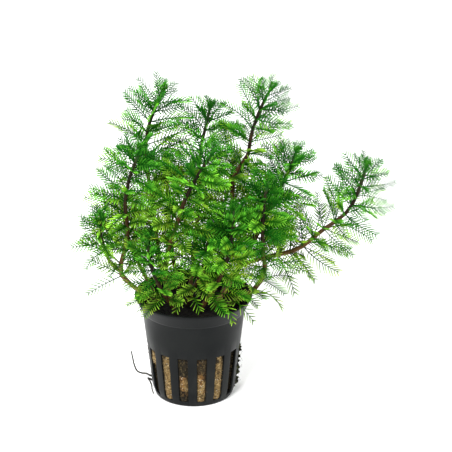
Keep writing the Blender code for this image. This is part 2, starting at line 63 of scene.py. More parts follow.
def calc(tree, operation, *values):
    return addNode(tree, "ShaderNodeMath", dict(enumerate(values)), operation=operation).outputs[0]


def product(tree, first, *others):
    for other in others:
        first = calc(tree, "MULTIPLY", first, other)
    return first


def total(tree, first, *others):
    for other in others:
        first = calc(tree, "ADD", first, other)
    return first


def minus(tree, value, other):
    return calc(tree, "SUBTRACT", value, other)


def vectorCalc(tree, operation, *values):
    return addNode(tree, "ShaderNodeVectorMath", dict(enumerate(values)), operation=operation).outputs[0]


def scaled(tree, vector, factor):
    return addNode(tree, "ShaderNodeVectorMath", {0: vector, 3: factor}, operation="SCALE").outputs[0]


def vectorOf(tree, *parts):
    return addNode(tree, "ShaderNodeCombineXYZ", dict(enumerate(parts))).outputs[0]


def partsOf(tree, vector):
    return addNode(tree, "ShaderNodeSeparateXYZ", {0: vector}).outputs


def smoothStep(tree, value, low, high, outLow=0.0, outHigh=1.0):
    inputs = {0: value, 1: low, 2: high, 3: outLow, 4: outHigh}
    return addNode(tree, "ShaderNodeMapRange", inputs, interpolation_type="SMOOTHSTEP").outputs[0]


def smoothStepMm(tree, value, spanMm, most=1.0):
    return smoothStep(tree, value, spanMm[0] * mm, spanMm[1] * mm, 0.0, most)


def noiseAt(tree, place, scale, detail):
    inputs = {"Vector": place, "Scale": scale, "Detail": detail}
    return addNode(tree, "ShaderNodeTexNoise", inputs).outputs[0]


def floatCurve(tree, value, points):
    made = addNode(tree, "ShaderNodeFloatCurve", {1: value})
    curve = made.mapping.curves[0]
    curve.points[0].location = points[0]
    curve.points[1].location = points[-1]
    for point in points[1:-1]:
        curve.points.new(*point)
    made.mapping.update()
    return made.outputs[0]


def mixColors(tree, factor, first, second, blend="MIX"):
    first, second = ((*color, 1) if isinstance(color, tuple) else color for color in (first, second))
    inputs = {0: factor, 6: first, 7: second}
    return addNode(tree, "ShaderNodeMix", inputs, data_type="RGBA", blend_type=blend).outputs[2]


def colorRamp(tree, value, stops):
    ramp = addNode(tree, "ShaderNodeValToRGB", {0: value})
    elements = ramp.color_ramp.elements
    while len(elements) < len(stops):
        elements.new(0.5)
    for element, (place, color) in zip(elements, stops):
        element.position = place
        element.color = (*color, 1)
    return ramp.outputs[0]


# Small helpers for geometry trees

def newGeometryTree(name, floats, others):
    tree = bpy.data.node_groups.new(name, "GeometryNodeTree")
    sockets = {"Geometry": "Geometry", **dict.fromkeys(floats, "Float"), **others}
    for label, kind in sockets.items():
        tree.interface.new_socket(label, in_out="INPUT", socket_type="NodeSocket" + kind)
    tree.interface.new_socket("Geometry", in_out="OUTPUT", socket_type="NodeSocketGeometry")
    given = tree.nodes.new("NodeGroupInput").outputs
    return tree, given, tree.nodes.new("NodeGroupOutput").inputs[0]


def positionOf(tree):
    return tree.nodes.new("GeometryNodeInputPosition").outputs[0]


def fieldOf(tree, name, kind="FLOAT"):
    return addNode(tree, "GeometryNodeInputNamedAttribute", {0: name}, data_type=kind).outputs[0]


def storeNumber(tree, geometry, name, value, domain="POINT"):
    inputs = {0: geometry, 2: name, 3: value}
    return addNode(tree, "GeometryNodeStoreNamedAttribute", inputs, data_type="FLOAT", domain=domain).outputs[0]


def randomValue(tree, low, high, seed):
    return addNode(tree, "FunctionNodeRandomValue", {2: low, 3: high, 8: seed}, data_type="FLOAT").outputs[1]


def quadraticLine(tree, steps, middle, end):
    inputs = {"Resolution": steps, "Start": (0, 0, 0), "Middle": middle, "End": end}
    return addNode(tree, "GeometryNodeCurveQuadraticBezier", inputs).outputs[0]


def tube(tree, line, sides, radius=1.0, **girth):
    ring = addNode(tree, "GeometryNodeCurvePrimitiveCircle", {"Resolution": sides, "Radius": radius})
    inputs = {0: line, 1: ring.outputs[0], **girth, "Fill Caps": True}
    return addNode(tree, "GeometryNodeCurveToMesh", inputs).outputs[0]


def facingBoth(tree, heading, upper):
    return addNode(tree, "FunctionNodeAxesToRotation", {0: heading, 1: upper},
                   primary_axis="X", secondary_axis="Z").outputs[0]


def instances(tree, inputs):
    return addNode(tree, "GeometryNodeInstanceOnPoints", inputs).outputs[0]


def realized(tree, geometry):
    return addNode(tree, "GeometryNodeRealizeInstances", {0: geometry}).outputs[0]


def joined(tree, *pieces):
    join = tree.nodes.new("GeometryNodeJoinGeometry")
    for piece in pieces:
        tree.links.new(piece, join.inputs[0])
    return join.outputs[0]


def smoothed(tree, geometry):
    return addNode(tree, "GeometryNodeSetShadeSmooth", {0: geometry}).outputs[0]


def withMaterial(tree, geometry, material):
    return addNode(tree, "GeometryNodeSetMaterial", {0: geometry, "Material": material}).outputs[0]


def evaluatedMesh(obj):
    graph = bpy.context.evaluated_depsgraph_get()
    return bpy.data.meshes.new_from_object(obj.evaluated_get(graph))


def runTree(obj, tree, values):
    # Sets the inputs by their sockets' identifiers, then keeps the result as a plain mesh
    modifier = obj.modifiers.new(tree.name, "NODES")
    modifier.node_group = tree
    for item in tree.interface.items_tree:
        if item.item_type == "SOCKET" and item.in_out == "INPUT" and item.name in values:
            modifier[item.identifier] = values[item.name]
    mesh = evaluatedMesh(obj)
    obj.modifiers.remove(modifier)
    obj.data = mesh


# Small helpers for pieces

def clamp(value, low=0.0, high=1.0):
    return max(low, min(high, value))


def newObject(name, mesh, collection=None):
    mesh.name = name
    obj = bpy.data.objects.new(name, mesh)
    (collection or bpy.context.scene.collection).objects.link(obj)
    return obj


def emptyMesh(name):
    return bpy.data.meshes.new(name)


def asMesh(bm, name):
    mesh = emptyMesh(name)
    bm.to_mesh(mesh)
    bm.free()
    return mesh


def settle(piece, node):
    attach(piece, "root")
    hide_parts(node)
    return piece


# Camera

cameraPlace = {"elevationDeg": 23.2, "distanceMm": 1200, "lookAtMm": (15.14, 0, 84.07), "lens": 207.4,
               "sensor": 36, "nearMm": 10}


def makeCamera():
    target = Vector(cameraPlace["lookAtMm"]) * mm
    rise = math.radians(cameraPlace["elevationDeg"])
    back = Vector((0, -math.cos(rise), math.sin(rise)))
    data = bpy.data.cameras.new("photoCamera")
    data.lens = cameraPlace["lens"]
    data.sensor_width = cameraPlace["sensor"]
    data.clip_start = cameraPlace["nearMm"] * mm
    camera = bpy.data.objects.new("photoCamera", data)
    bpy.context.scene.collection.objects.link(camera)
    camera.location = target + back * cameraPlace["distanceMm"] * mm
    camera.rotation_euler = (-back).to_track_quat("-Z", "Y").to_euler()
    bpy.context.scene.camera = camera


makeCamera()
print("camera: done")


# Shared surface effects

grainShape = {"fineDetail": 4.0, "slowDetail": 5.0, "maskSpan": (0.42, 0.68)}


def newShaderGroup(name, inputs, outputs):
    group = bpy.data.node_groups.new(name, "ShaderNodeTree")
    for label, (kind, value) in inputs.items():
        socket = group.interface.new_socket(label, in_out="INPUT", socket_type="NodeSocket" + kind)
        socket.default_value = value
    for label, kind in outputs.items():
        group.interface.new_socket(label, in_out="OUTPUT", socket_type="NodeSocket" + kind)
    return group, group.nodes.new("NodeGroupInput").outputs, group.nodes.new("NodeGroupOutput").inputs


def objectPlace(tree):
    return tree.nodes.new("ShaderNodeTexCoord").outputs["Object"]


def makeGrain():
    # Fine height from two noises, and a slow mask for what settles on a surface
    inputs = {"Scale": ("Float", 1000.0), "Coarse": ("Float", 60.0), "Mix": ("Float", 0.5)}
    group, given, out = newShaderGroup("surfaceGrain", inputs, {"Height": "Float", "Mask": "Float"})
    place = objectPlace(group)
    fine = noiseAt(group, place, given["Scale"], grainShape["fineDetail"])
    slow = noiseAt(group, place, given["Coarse"], grainShape["slowDetail"])
    height = addNode(group, "ShaderNodeMix", {0: given["Mix"], 2: fine, 3: slow})
    group.links.new(height.outputs[0], out["Height"])
    group.links.new(smoothStep(group, slow, *grainShape["maskSpan"]), out["Mask"])
    return group


surfaceGrain = makeGrain()


def newMaterial(name, roughness, specular=0.5):
    material = bpy.data.materials.new(name)
    material.use_nodes = True
    tree = material.node_tree
    shader = tree.nodes["Principled BSDF"]
    shader.inputs["Roughness"].default_value = roughness
    shader.inputs["Specular IOR Level"].default_value = specular
    return material, tree, shader


def placeGrain(tree, scale, coarse, mix):
    grain = tree.nodes.new("ShaderNodeGroup")
    grain.node_tree = surfaceGrain
    grain.inputs["Scale"].default_value = scale
    grain.inputs["Coarse"].default_value = coarse
    grain.inputs["Mix"].default_value = mix
    return grain.outputs


def addBump(tree, shader, height, strength, distanceMm):
    inputs = {"Height": height, "Strength": strength, "Distance": distanceMm * mm}
    tree.links.new(addNode(tree, "ShaderNodeBump", inputs).outputs[0], shader.inputs["Normal"])


def readAttribute(tree, name):
    return addNode(tree, "ShaderNodeAttribute", attribute_name=name).outputs["Fac"]


# Turned shapes

def turned(name, profileMm, steps, startDeg=0.0):
    # Outline points from the outside top round to the axis, as radius and height
    bm = bmesh.new()
    angles = [math.radians(startDeg + 360 * i / steps) for i in range(steps)]
    rings = []
    for radius, height in profileMm:
        if radius == 0:
            rings.append([bm.verts.new((0, 0, height * mm))])
        else:
            rings.append([bm.verts.new((radius * mm * math.cos(a), radius * mm * math.sin(a), height * mm))
                          for a in angles])
    for upper, lower in zip(rings, rings[1:]):
        for i in range(steps):
            j = (i + 1) % steps
            corners = [ring[k % len(ring)] for ring, k in ((upper, i), (lower, i), (lower, j), (upper, j))]
            bm.faces.new(list(dict.fromkeys(corners)))
    return asMesh(bm, name)


# Pot

potShape = {
    "outsideMm": [(27.5, 50), (27.42, 49.5), (26.85, 48.3), (26.0, 46.6), (25.2, 44.9), (24.6, 43.7), (24.4, 43.3),
                  (24.08, 43.0), (23.95, 42.6), (23.4, 38), (22.7, 32), (22.0, 26), (21.3, 19), (20.6, 12),
                  (19.95, 6), (19.6, 4.2), (19.0, 2.6), (18.6, 1.3), (18.3, 0.4), (17.8, 0), (15, 0), (8, 0), (0, 0)],
    "wallMm": 0.9,
    "edgeMm": 0.13,
    "edgeFromDeg": 40,
    "sharpFromDeg": 50,
    "columns": 285,
    "slots": 15,
    "firstSlotDeg": -79.2,
    "slotShare": 10 / 19,
    "slotLowMm": 2.6,
    "slotHighMm": 26.0,
    "floorSlots": 8,
    "floorSlotShare": 0.31,
    "floorSlotMm": (8.0, 15.0),
    "floorTopMm": 0.1,
}
plasticLook = {
    "color": (0.0042, 0.0050, 0.0052),
    "filmColor": (0.013, 0.014, 0.013),
    "filmFadeMm": (30, 2),
    "filmShare": (0.75, 0.25),
    "specular": 0.09,
    "roughness": (0.36, 0.5),
    "grain": (2600.0, 55.0, 0.25),
    "bump": (0.12, 0.12),
}


def slotOffset(tree, count, firstDeg):
    # How far a place is round from the nearest slot's middle, as a share of the step between slots
    parts = partsOf(tree, positionOf(tree))
    azimuth = calc(tree, "DEGREES", calc(tree, "ARCTAN2", parts[1], parts[0]))
    turns = product(tree, minus(tree, azimuth, firstDeg), calc(tree, "DIVIDE", count, 360.0))
    return calc(tree, "ABSOLUTE", minus(tree, turns, calc(tree, "ROUND", turns))), parts


def inSlot(tree, offset, share):
    return calc(tree, "LESS_THAN", offset, product(tree, share, 0.5))


def between(tree, value, low, high):
    return product(tree, calc(tree, "GREATER_THAN", value, low), calc(tree, "LESS_THAN", value, high))


def makeSlotTree():
    tree, given, out = newGeometryTree("cutPotSlots", [
        "Slots", "First", "Share", "Low", "High", "Floor Slots", "Floor Share", "Floor Inner", "Floor Outer"], {})
    offset, parts = slotOffset(tree, given["Slots"], given["First"])
    inRows = between(tree, parts[2], given["Low"], given["High"])
    wall = product(tree, inSlot(tree, offset, given["Share"]), inRows)
    floorOffset, _ = slotOffset(tree, given["Floor Slots"], 0.0)
    radius = calc(tree, "SQRT", total(tree, *(product(tree, parts[i], parts[i]) for i in (0, 1))))
    inRing = between(tree, radius, given["Floor Inner"], given["Floor Outer"])
    low = calc(tree, "LESS_THAN", parts[2], potShape["floorTopMm"] * mm)
    floor = product(tree, inSlot(tree, floorOffset, given["Floor Share"]), inRing, low)
    gone = addNode(tree, "GeometryNodeDeleteGeometry", {0: given["Geometry"], 1: total(tree, wall, floor)},
                   domain="FACE")
    tree.links.new(gone.outputs[0], out)
    return tree


def makePotPlastic():
    # Black plastic with a thin dull film that thickens towards the base
    look = plasticLook
    material, tree, shader = newMaterial("potPlastic", look["roughness"][0], look["specular"])
    grain = placeGrain(tree, *look["grain"])
    low = smoothStepMm(tree, partsOf(tree, objectPlace(tree))[2], look["filmFadeMm"])
    film = product(tree, grain["Mask"], calc(tree, "MULTIPLY_ADD", low, *look["filmShare"]))
    color = mixColors(tree, film, look["color"], look["filmColor"])
    tree.links.new(color, shader.inputs["Base Color"])
    dull = smoothStep(tree, grain["Mask"], 0.0, 1.0, *look["roughness"])
    tree.links.new(dull, shader.inputs["Roughness"])
    addBump(tree, shader, grain["Height"], *look["bump"])
    return material


def makePot():
    shape = potShape
    halfSlot = 180 / shape["slots"] * shape["slotShare"]
    outline = turned("pot", shape["outsideMm"], shape["columns"], shape["firstSlotDeg"] - halfSlot)
    shell = newObject("pot_moulding", outline)
    runTree(shell, makeSlotTree(), {
        "Slots": float(shape["slots"]), "First": shape["firstSlotDeg"], "Share": shape["slotShare"],
        "Low": shape["slotLowMm"] * mm, "High": shape["slotHighMm"] * mm,
        "Floor Slots": float(shape["floorSlots"]), "Floor Share": shape["floorSlotShare"],
        "Floor Inner": shape["floorSlotMm"][0] * mm, "Floor Outer": shape["floorSlotMm"][1] * mm})
    wall = shell.modifiers.new("wall", "SOLIDIFY")
    wall.thickness = shape["wallMm"] * mm
    wall.offset = -1
    wall.use_even_offset = True
    edge = shell.modifiers.new("edge", "BEVEL")
    edge.width = shape["edgeMm"] * mm
    edge.segments = 2
    edge.limit_method = "ANGLE"
    edge.angle_limit = math.radians(shape["edgeFromDeg"])
    mesh = evaluatedMesh(shell)
    shell.modifiers.clear()
    shell.data = mesh
    mesh.shade_smooth()
    mesh.set_sharp_from_angle(angle=math.radians(shape["sharpFromDeg"]))
    mesh.materials.clear()
    mesh.materials.append(makePotPlastic())
    return settle(shell, "pot")


pot = makePot()
print("pot:", len(pot.data.polygons), "faces")


# Mineral wool plug. A Span is counted from a slot's middle, as a share of the step between slots

woolShape = {
    "outlineMm": [(0, 44.0), (6, 44.1), (12, 43.9), (18, 43.8), (21.2, 43.6), (22.4, 42.9), (22.6, 41), (21.05, 26),
                  (20.2, 18), (19.3, 9), (19.0, 6), (18.6, 4), (18.0, 2.4), (17.2, 1.6), (12, 1.5), (0, 1.5)],
    "stepMm": 0.55,
    "columns": 256,
    "bulgeMm": 0.65,
    "bulgeSpan": (0.30, 0.05),
    "lumpMm": 0.7,
    "lumpScale": 280.0,
    "lumpDetail": 3.0,
    "crumbMm": 0.8,
    "crumbScale": 1000.0,
    "crumbDetail": 2.0,
    "tuftNoise": (620.0, 4.0),
    "tuftShows": (0.42, 0.62),
    "tuftSpan": (0.20, 0.12),
    "sunkSpan": (0.42, 0.30),
    "sunkFadeMm": 3,
    "slotTopMm": 27.0,
    "slotFadeMm": 4,
    "slotFootMm": (2.5, 5),
    "strandsPerCm2": 80.0,
    "strandMm": 2.0,
    "strandRadiusMm": 0.05,
    "strandSides": 3,
    "strandSteps": 4,
    "strandBend": (0.5, 0.22, 0.10),
    "strandTilt": (-0.30, 0.02),
    "strandSizes": (0.45, 1.15),
    "strandSpan": (0.26, 0.16),
    "strandTopMm": (43.0, 43.5),
    "strandTopShare": 0.6,
    "seed": 5,
}
# What each slot in view shows, counted to the right from the one at the front: how far the wool has
# sunk below a height, how far moss has come out, and how much algae and stain there is
slotLook = {
    -3: {"sunkMm": 2.6, "sunkBelowMm": 19},
    -2: {"algae": 0.15, "stain": 0.3},
    -1: {"algae": 1.0, "stain": 1.0, "mud": 1.0},
    0: {"algae": 0.9, "stain": 1.0, "mud": 0.25},
    1: {"algae": 0.2, "stain": 0.15},
    2: {"sunkMm": 2.2, "sunkBelowMm": 30, "algae": 0.6},
    3: {"mossMm": 1.6, "algae": 0.8},
}
otherSlots = {"algae": (0.0, 0.9), "stain": (0.0, 0.9), "seed": 4}


def finelySplit(profileMm, stepMm):
    points = [profileMm[0]]
    for first, second in zip(profileMm, profileMm[1:]):
        count = max(1, round(math.dist(first, second) / stepMm))
        for i in range(1, count + 1):
            points.append(tuple(a + (b - a) * i / count for a, b in zip(first, second)))
    return points


def markSlots(mesh):
    # Gives each point of the wool its slot's character
    slots = potShape["slots"]
    rng = random.Random(otherSlots["seed"])
    looks = {number: {label: rng.uniform(*otherSlots[label]) for label in ("algae", "stain")}
             for number in range(slots)}
    looks.update({number % slots: look for number, look in slotLook.items()})
    marks = {label: [] for label in ("sunk", "moss", "algae", "stain", "mud")}
    for vert in mesh.vertices:
        azimuth = math.degrees(math.atan2(vert.co.y, vert.co.x))
        look = looks[round((azimuth - potShape["firstSlotDeg"]) * slots / 360) % slots]
        depth = clamp((look.get("sunkBelowMm", 0) - vert.co.z / mm) / woolShape["sunkFadeMm"])
        marks["sunk"].append(depth * look.get("sunkMm", 0) * mm)
        marks["moss"].append(look.get("mossMm", 0) * mm)
        for label in ("algae", "stain", "mud"):
            marks[label].append(look.get(label, 0))
    for label, values in marks.items():
        mesh.attributes.new(label, "FLOAT", "POINT").data.foreach_set("value", values)


def makeStrand(tree, length, radius):
    # One thin curved fibre along X
    bend = vectorOf(tree, *(product(tree, length, share) for share in woolShape["strandBend"]))
    line = quadraticLine(tree, woolShape["strandSteps"], bend, vectorOf(tree, length))
    return tube(tree, line, woolShape["strandSides"], radius)


def makeWoolTree(material):
    shape = woolShape
    tree, given, out = newGeometryTree("packWool", [
        "Slots", "First", "Bulge", "Lump", "Lump Scale", "Crumb", "Crumb Scale", "Slot Top", "Density", "Strand",
        "Strand Radius"], {"Seed": "Int"})
    place = positionOf(tree)
    offset, parts = slotOffset(tree, given["Slots"], given["First"])

    def nearMiddle(label):
        return smoothStep(tree, offset, *shape[label])

    def relief(scale, detail, height):
        return product(tree, minus(tree, noiseAt(tree, place, scale, detail), 0.5), height)

    fade = minus(tree, given["Slot Top"], shape["slotFadeMm"] * mm)
    below = smoothStep(tree, parts[2], given["Slot Top"], fade)
    above = smoothStepMm(tree, parts[2], shape["slotFootMm"])
    bulge = product(tree, nearMiddle("bulgeSpan"), below, given["Bulge"])
    lump = relief(given["Lump Scale"], shape["lumpDetail"], given["Lump"])
    crumb = relief(given["Crumb Scale"], shape["crumbDetail"], given["Crumb"])
    # Moss comes out only near a slot's middle, and in tufts
    tuft = smoothStep(tree, noiseAt(tree, place, *shape["tuftNoise"]), *shape["tuftShows"])
    mossy = product(tree, below, above, nearMiddle("tuftSpan"))
    moss = product(tree, tuft, mossy, fieldOf(tree, "moss"))
    sunk = product(tree, fieldOf(tree, "sunk"), nearMiddle("sunkSpan"))
    rise = minus(tree, total(tree, bulge, lump, total(tree, crumb, moss)), sunk)
    normal = tree.nodes.new("GeometryNodeInputNormal").outputs[0]
    edged = storeNumber(tree, given["Geometry"], "slotEdge", offset)
    moved = addNode(tree, "GeometryNodeSetPosition", {0: edged, 3: scaled(tree, normal, rise)}).outputs[0]
    inSlots = product(tree, nearMiddle("strandSpan"), above, below)
    onTop = smoothStepMm(tree, parts[2], shape["strandTopMm"], shape["strandTopShare"])
    density = product(tree, calc(tree, "MAXIMUM", inSlots, onTop), given["Density"])
    spots = addNode(tree, "GeometryNodeDistributePointsOnFaces",
                    {"Mesh": moved, "Density": density, "Seed": given["Seed"]}, distribute_method="RANDOM").outputs
    tilt = randomValue(tree, *shape["strandTilt"], 4)
    turn = vectorOf(tree, 0.0, tilt, randomValue(tree, -math.pi, math.pi, 3))
    facing = addNode(tree, "FunctionNodeRotateRotation", {0: spots["Rotation"], 1: turn}, rotation_space="LOCAL")
    laid = instances(tree, {
        "Points": spots["Points"], "Instance": makeStrand(tree, given["Strand"], given["Strand Radius"]),
        "Rotation": facing.outputs[0], "Scale": randomValue(tree, *shape["strandSizes"], 5)})
    toned = storeNumber(tree, laid, "strandTone", randomValue(tree, 0.0, 1.0, 6), "INSTANCE")
    whole = smoothed(tree, joined(tree, realized(tree, toned), moved))
    tree.links.new(withMaterial(tree, whole, material), out)
    return tree


woolColors = {
    "tan": [(0.36, (0.055, 0.032, 0.011)), (0.46, (0.125, 0.079, 0.028)), (0.54, (0.195, 0.130, 0.050)),
            (0.66, (0.360, 0.265, 0.125))],
    "stain": [(0.38, (0.036, 0.016, 0.006)), (0.60, (0.150, 0.075, 0.020))],
    "fibre": (0.400, 0.320, 0.190),
    "speck": (0.600, 0.550, 0.440),
    "pit": (0.012, 0.009, 0.004),
    "algae": [(0.48, (0.002, 0.002, 0.001)), (0.60, (0.016, 0.012, 0.005)), (0.72, (0.090, 0.068, 0.030))],
    "moss": [(0.40, (0.002, 0.002, 0.001)), (0.58, (0.012, 0.014, 0.004)), (0.70, (0.070, 0.075, 0.022))],
    "topAlgaeAndShade": [(0.35, (0.001, 0.001, 0.001)), (0.60, (0.003, 0.002, 0.001)), (0.80, (0.012, 0.008, 0.004))],
}
woolLook = {
    "roughness": 0.93,
    "specular": 0.2,
    "noises": {"crumb": (1300.0, 2.0), "patch": (240.0, 4.0), "stain": (230.0, 3.0), "edge": (500.0, 4.0),
               "line": (330.0, 3.0), "moss": (700.0, 4.0), "topAlgaeAndShade": (150.0, 4.0)},
    "crumbShare": 0.75,
    "fibrePower": 3.0,
    "fibreShare": 0.6,
    "stainShows": (0.46, 0.60),
    "pitScale": 520.0,
    "pitShows": (0.26, 0.14, 0.0, 0.85),
    "speckScale": 700.0,
    "speckShows": (0.18, 0.10, 0.0, 0.75),
    "sideShadeStray": 0.16,
    "sideShadeSpan": (0.17, 0.25),
    "lineStrayMm": 20,
    "algaeFromMm": (13.5, 19),
    "darkerTowardsTopFromMm": (23.2, 26.2),
    "mudBelowMm": (10, 6),
    "paintedShadeWhereSunkMm": (0.6, 1.8),
    "dampAndShadeShare": 0.95,
    "mossFromMm": (0.5, 1.5),
    "topAlgaeAndShadeFromMm": (30, 40),
    "grain": (2400.0, 900.0, 0.5),
    "bump": (0.9, 0.5),
}


def makeWoolMaterial():
    # Tan fibres with pale specks and dark pits, stained and grown over by algae, mossy outside and on top, with
    # painted shade along the slot sides and where the wool has sunk, darker towards the slot tops, and near black on
    # top, partly algae and partly painted shade
    look = woolLook
    material, tree, shader = newMaterial("mineralWool", look["roughness"], look["specular"])
    place = objectPlace(tree)
    height = partsOf(tree, place)[2]

    def noise(label):
        return noiseAt(tree, place, *look["noises"][label])

    def marked(mask, label):
        return product(tree, mask, readAttribute(tree, label))

    def over(mask, below, label, value=None):
        color = colorRamp(tree, value, woolColors[label]) if value else woolColors[label]
        return mixColors(tree, mask, below, color)

    def cells(label):
        found = addNode(tree, "ShaderNodeTexVoronoi", {"Vector": place, "Scale": look[label + "Scale"]}).outputs[0]
        return smoothStep(tree, found, *look[label + "Shows"])

    crumbs = noise("crumb")
    patches = product(tree, noise("patch"), 1 - look["crumbShare"])
    base = colorRamp(tree, calc(tree, "MULTIPLY_ADD", crumbs, look["crumbShare"], patches), woolColors["tan"])
    fibre = calc(tree, "POWER", readAttribute(tree, "strandTone"), look["fibrePower"])
    base = over(product(tree, fibre, look["fibreShare"]), base, "fibre")
    stained = marked(smoothStep(tree, noise("stain"), *look["stainShows"]), "stain")
    base = over(stained, base, "stain", crumbs)
    base = over(cells("pit"), base, "pit")
    base = over(cells("speck"), base, "speck")
    # Painted shade along the slot sides, where the wool meets the bars
    edge = calc(tree, "MULTIPLY_ADD", minus(tree, noise("edge"), 0.5), look["sideShadeStray"],
                readAttribute(tree, "slotEdge"))
    stray = look["lineStrayMm"] * mm
    high = calc(tree, "MULTIPLY_ADD", noise("line"), stray, minus(tree, height, stray / 2))
    # Darkened with the algae colour: algae and mud where a slot is marked, darker towards the slot tops, and painted
    # shade along the slot sides and where the wool has sunk
    dampAndPaintedShade = marked(smoothStepMm(tree, high, look["algaeFromMm"]), "algae")
    for other in (smoothStepMm(tree, high, look["darkerTowardsTopFromMm"]),
                  marked(smoothStepMm(tree, high, look["mudBelowMm"]), "mud"),
                  smoothStep(tree, edge, *look["sideShadeSpan"]),
                  smoothStepMm(tree, readAttribute(tree, "sunk"), look["paintedShadeWhereSunkMm"])):
        dampAndPaintedShade = calc(tree, "MAXIMUM", dampAndPaintedShade, other)
    base = over(product(tree, dampAndPaintedShade, look["dampAndShadeShare"]), base, "algae", crumbs)
    base = over(smoothStepMm(tree, readAttribute(tree, "moss"), look["mossFromMm"]), base, "moss", noise("moss"))
    # Near black on top, partly algae and partly painted shade under the leaves inside the pot
    base = over(smoothStepMm(tree, height, look["topAlgaeAndShadeFromMm"]), base, "topAlgaeAndShade", noise("topAlgaeAndShade"))
    tree.links.new(base, shader.inputs["Base Color"])
    addBump(tree, shader, placeGrain(tree, *look["grain"])["Height"], *look["bump"])
    return material


def makeWool():
    shape = woolShape
    mesh = turned("wool", finelySplit(shape["outlineMm"], shape["stepMm"]), shape["columns"])
    markSlots(mesh)
    wool = newObject("wool_plug_fibrous", mesh)
    runTree(wool, makeWoolTree(makeWoolMaterial()), {
        "Slots": float(potShape["slots"]), "First": potShape["firstSlotDeg"], "Bulge": shape["bulgeMm"] * mm,
        "Lump": shape["lumpMm"] * mm, "Lump Scale": shape["lumpScale"], "Crumb": shape["crumbMm"] * mm,
        "Crumb Scale": shape["crumbScale"], "Slot Top": shape["slotTopMm"] * mm,
        "Density": shape["strandsPerCm2"] * 1e4, "Strand": shape["strandMm"] * mm,
        "Strand Radius": shape["strandRadiusMm"] * mm, "Seed": shape["seed"]})
    return settle(wool, "wool_plug")


wool = makeWool()
print("wool:", len(wool.data.polygons), "faces")


# Shoots: read from the frame's own solids

drapedLeavesMm = {
    "shoot_left": [((-22.5, -14, 53.5), (-24.5, -17.5, 48.2))],
    "shoot_front_right": [((22, -17.5, 51.6), (28, -15.5, 42.5)), ((25.8, -11, 52), (29.8, -12, 49)),
                          ((32, -7, 53.6), (41, -9, 46))],
    "shoot_front_centre": [((-4, -14, 55.5), (-8, -22, 50.3))],
    "shoot_front_right_inner": [((1, -18, 55), (3.5, -23.5, 51.5)), ((16, -22.5, 52.4), (18.3, -24.7, 46))],
}
branchStartMm = {"side_branch_left": (-34.0, -2.0, 62.2)}

leafKinds = {
    "young": {"lengthMm": 6.5, "pairs": 5, "needleMm": 3.1, "needleRadiusMm": 0.20, "stalkRadiusMm": 0.20,
              "bare": 0.12, "spreadDeg": (52, 34), "liftDeg": 8, "archMm": 0.35, "ragged": 0.5},
    "middle": {"lengthMm": 12.0, "pairs": 8, "needleMm": 4.5, "needleRadiusMm": 0.25, "stalkRadiusMm": 0.25,
               "bare": 0.13, "spreadDeg": (56, 36), "liftDeg": 8, "archMm": 0.8, "ragged": 0.5},
    "grown": {"lengthMm": 19.0, "pairs": 11, "needleMm": 5.3, "needleRadiusMm": 0.265, "stalkRadiusMm": 0.29,
              "bare": 0.16, "spreadDeg": (56, 36), "liftDeg": 9, "archMm": 1.5, "ragged": 0.5},
    "old": {"lengthMm": 18.0, "pairs": 8, "needleMm": 5.1, "needleRadiusMm": 0.27, "stalkRadiusMm": 0.30,
            "bare": 0.20, "spreadDeg": (54, 32), "liftDeg": 11, "archMm": 1.8, "ragged": 0.6},
}
leafChoice = {"variants": 4, "youngBelowMm": 8.5, "middleBelowMm": 14.5, "oldFromAge": 0.93,
              "arch": (0.3, 1.7), "bendPlace": (0.4, 0.55), "bendAside": (-0.13, 0.13),
              "seed": 20, "seedStep": 100, "drapedSeed": 900}
sameSpot = 1e-6  # metres


def nearVerts(vert):
    return [edge.other_vert(vert) for edge in vert.link_edges]


def meanOf(points):
    return sum(points, Vector()) / len(points)


def squareTo(vector, heading):
    return (vector - heading * vector.dot(heading)).normalized()


def seatAt(root, tip, above, **more):
    upper = squareTo(above, (tip - root).normalized())
    return {"root": root.copy(), "tip": tip.copy(), "upper": upper, **more}


def leafSeats(bm):
    # A leaf's tip has six neighbours, and only its two side edges have three
    seats = []
    used = set()
    for tip in bm.verts:
        near = nearVerts(tip)
        sides = [vert for vert in near if len(vert.link_edges) == 3]
        if len(near) != 6 or len(sides) != 2:
            continue
        root = meanOf([vert.co for vert in near if vert not in sides])
        seats.append(seatAt(root, tip.co, (sides[0].co + sides[1].co) / 2 - root))
        used.update([tip, *sides])
    return seats, used


def drapedSeats(bm, drapes):
    seats = []
    used = set()
    for turning, end in drapes:
        tip = min(bm.verts, key=lambda vert: (vert.co - Vector(end) * mm).length)
        middle = nearVerts(tip)
        corners = dict.fromkeys(vert for side in middle for vert in nearVerts(side))
        root = meanOf([vert.co for vert in corners if vert != tip and vert not in middle])
        seats.append(seatAt(root, tip.co, Vector(turning) * mm - root, turning=Vector(turning) * mm))
        used.update([tip, *middle])
    return seats, used


def stemRings(bm, used):
    # Walks down from the stem's tip, ring by ring
    stem = [vert for vert in bm.verts if vert not in used]
    layer = [max(stem, key=lambda vert: vert.co.z)]
    seen = set(layer)
    rings = [(layer[0].co.copy(), 0.0)]
    while layer:
        layer = [vert for vert in dict.fromkeys(v for w in layer for v in nearVerts(w))
                 if vert not in used and vert not in seen]
        seen.update(layer)
        if layer:
            centre = meanOf([vert.co for vert in layer])
            rings.append((centre, sum((vert.co - centre).length for vert in layer) / len(layer)))
    return rings


def readShoot(name):
    bm = bmesh.new()
    bm.from_mesh(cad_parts[name].data)
    bmesh.ops.remove_doubles(bm, verts=bm.verts, dist=sameSpot)
    seats, used = leafSeats(bm)
    draped, usedToo = drapedSeats(bm, drapedLeavesMm.get(name, []))
    rings = stemRings(bm, used | usedToo)
    bm.free()
    return seats, draped, rings


# Leaves: a stalk with needles along both sides

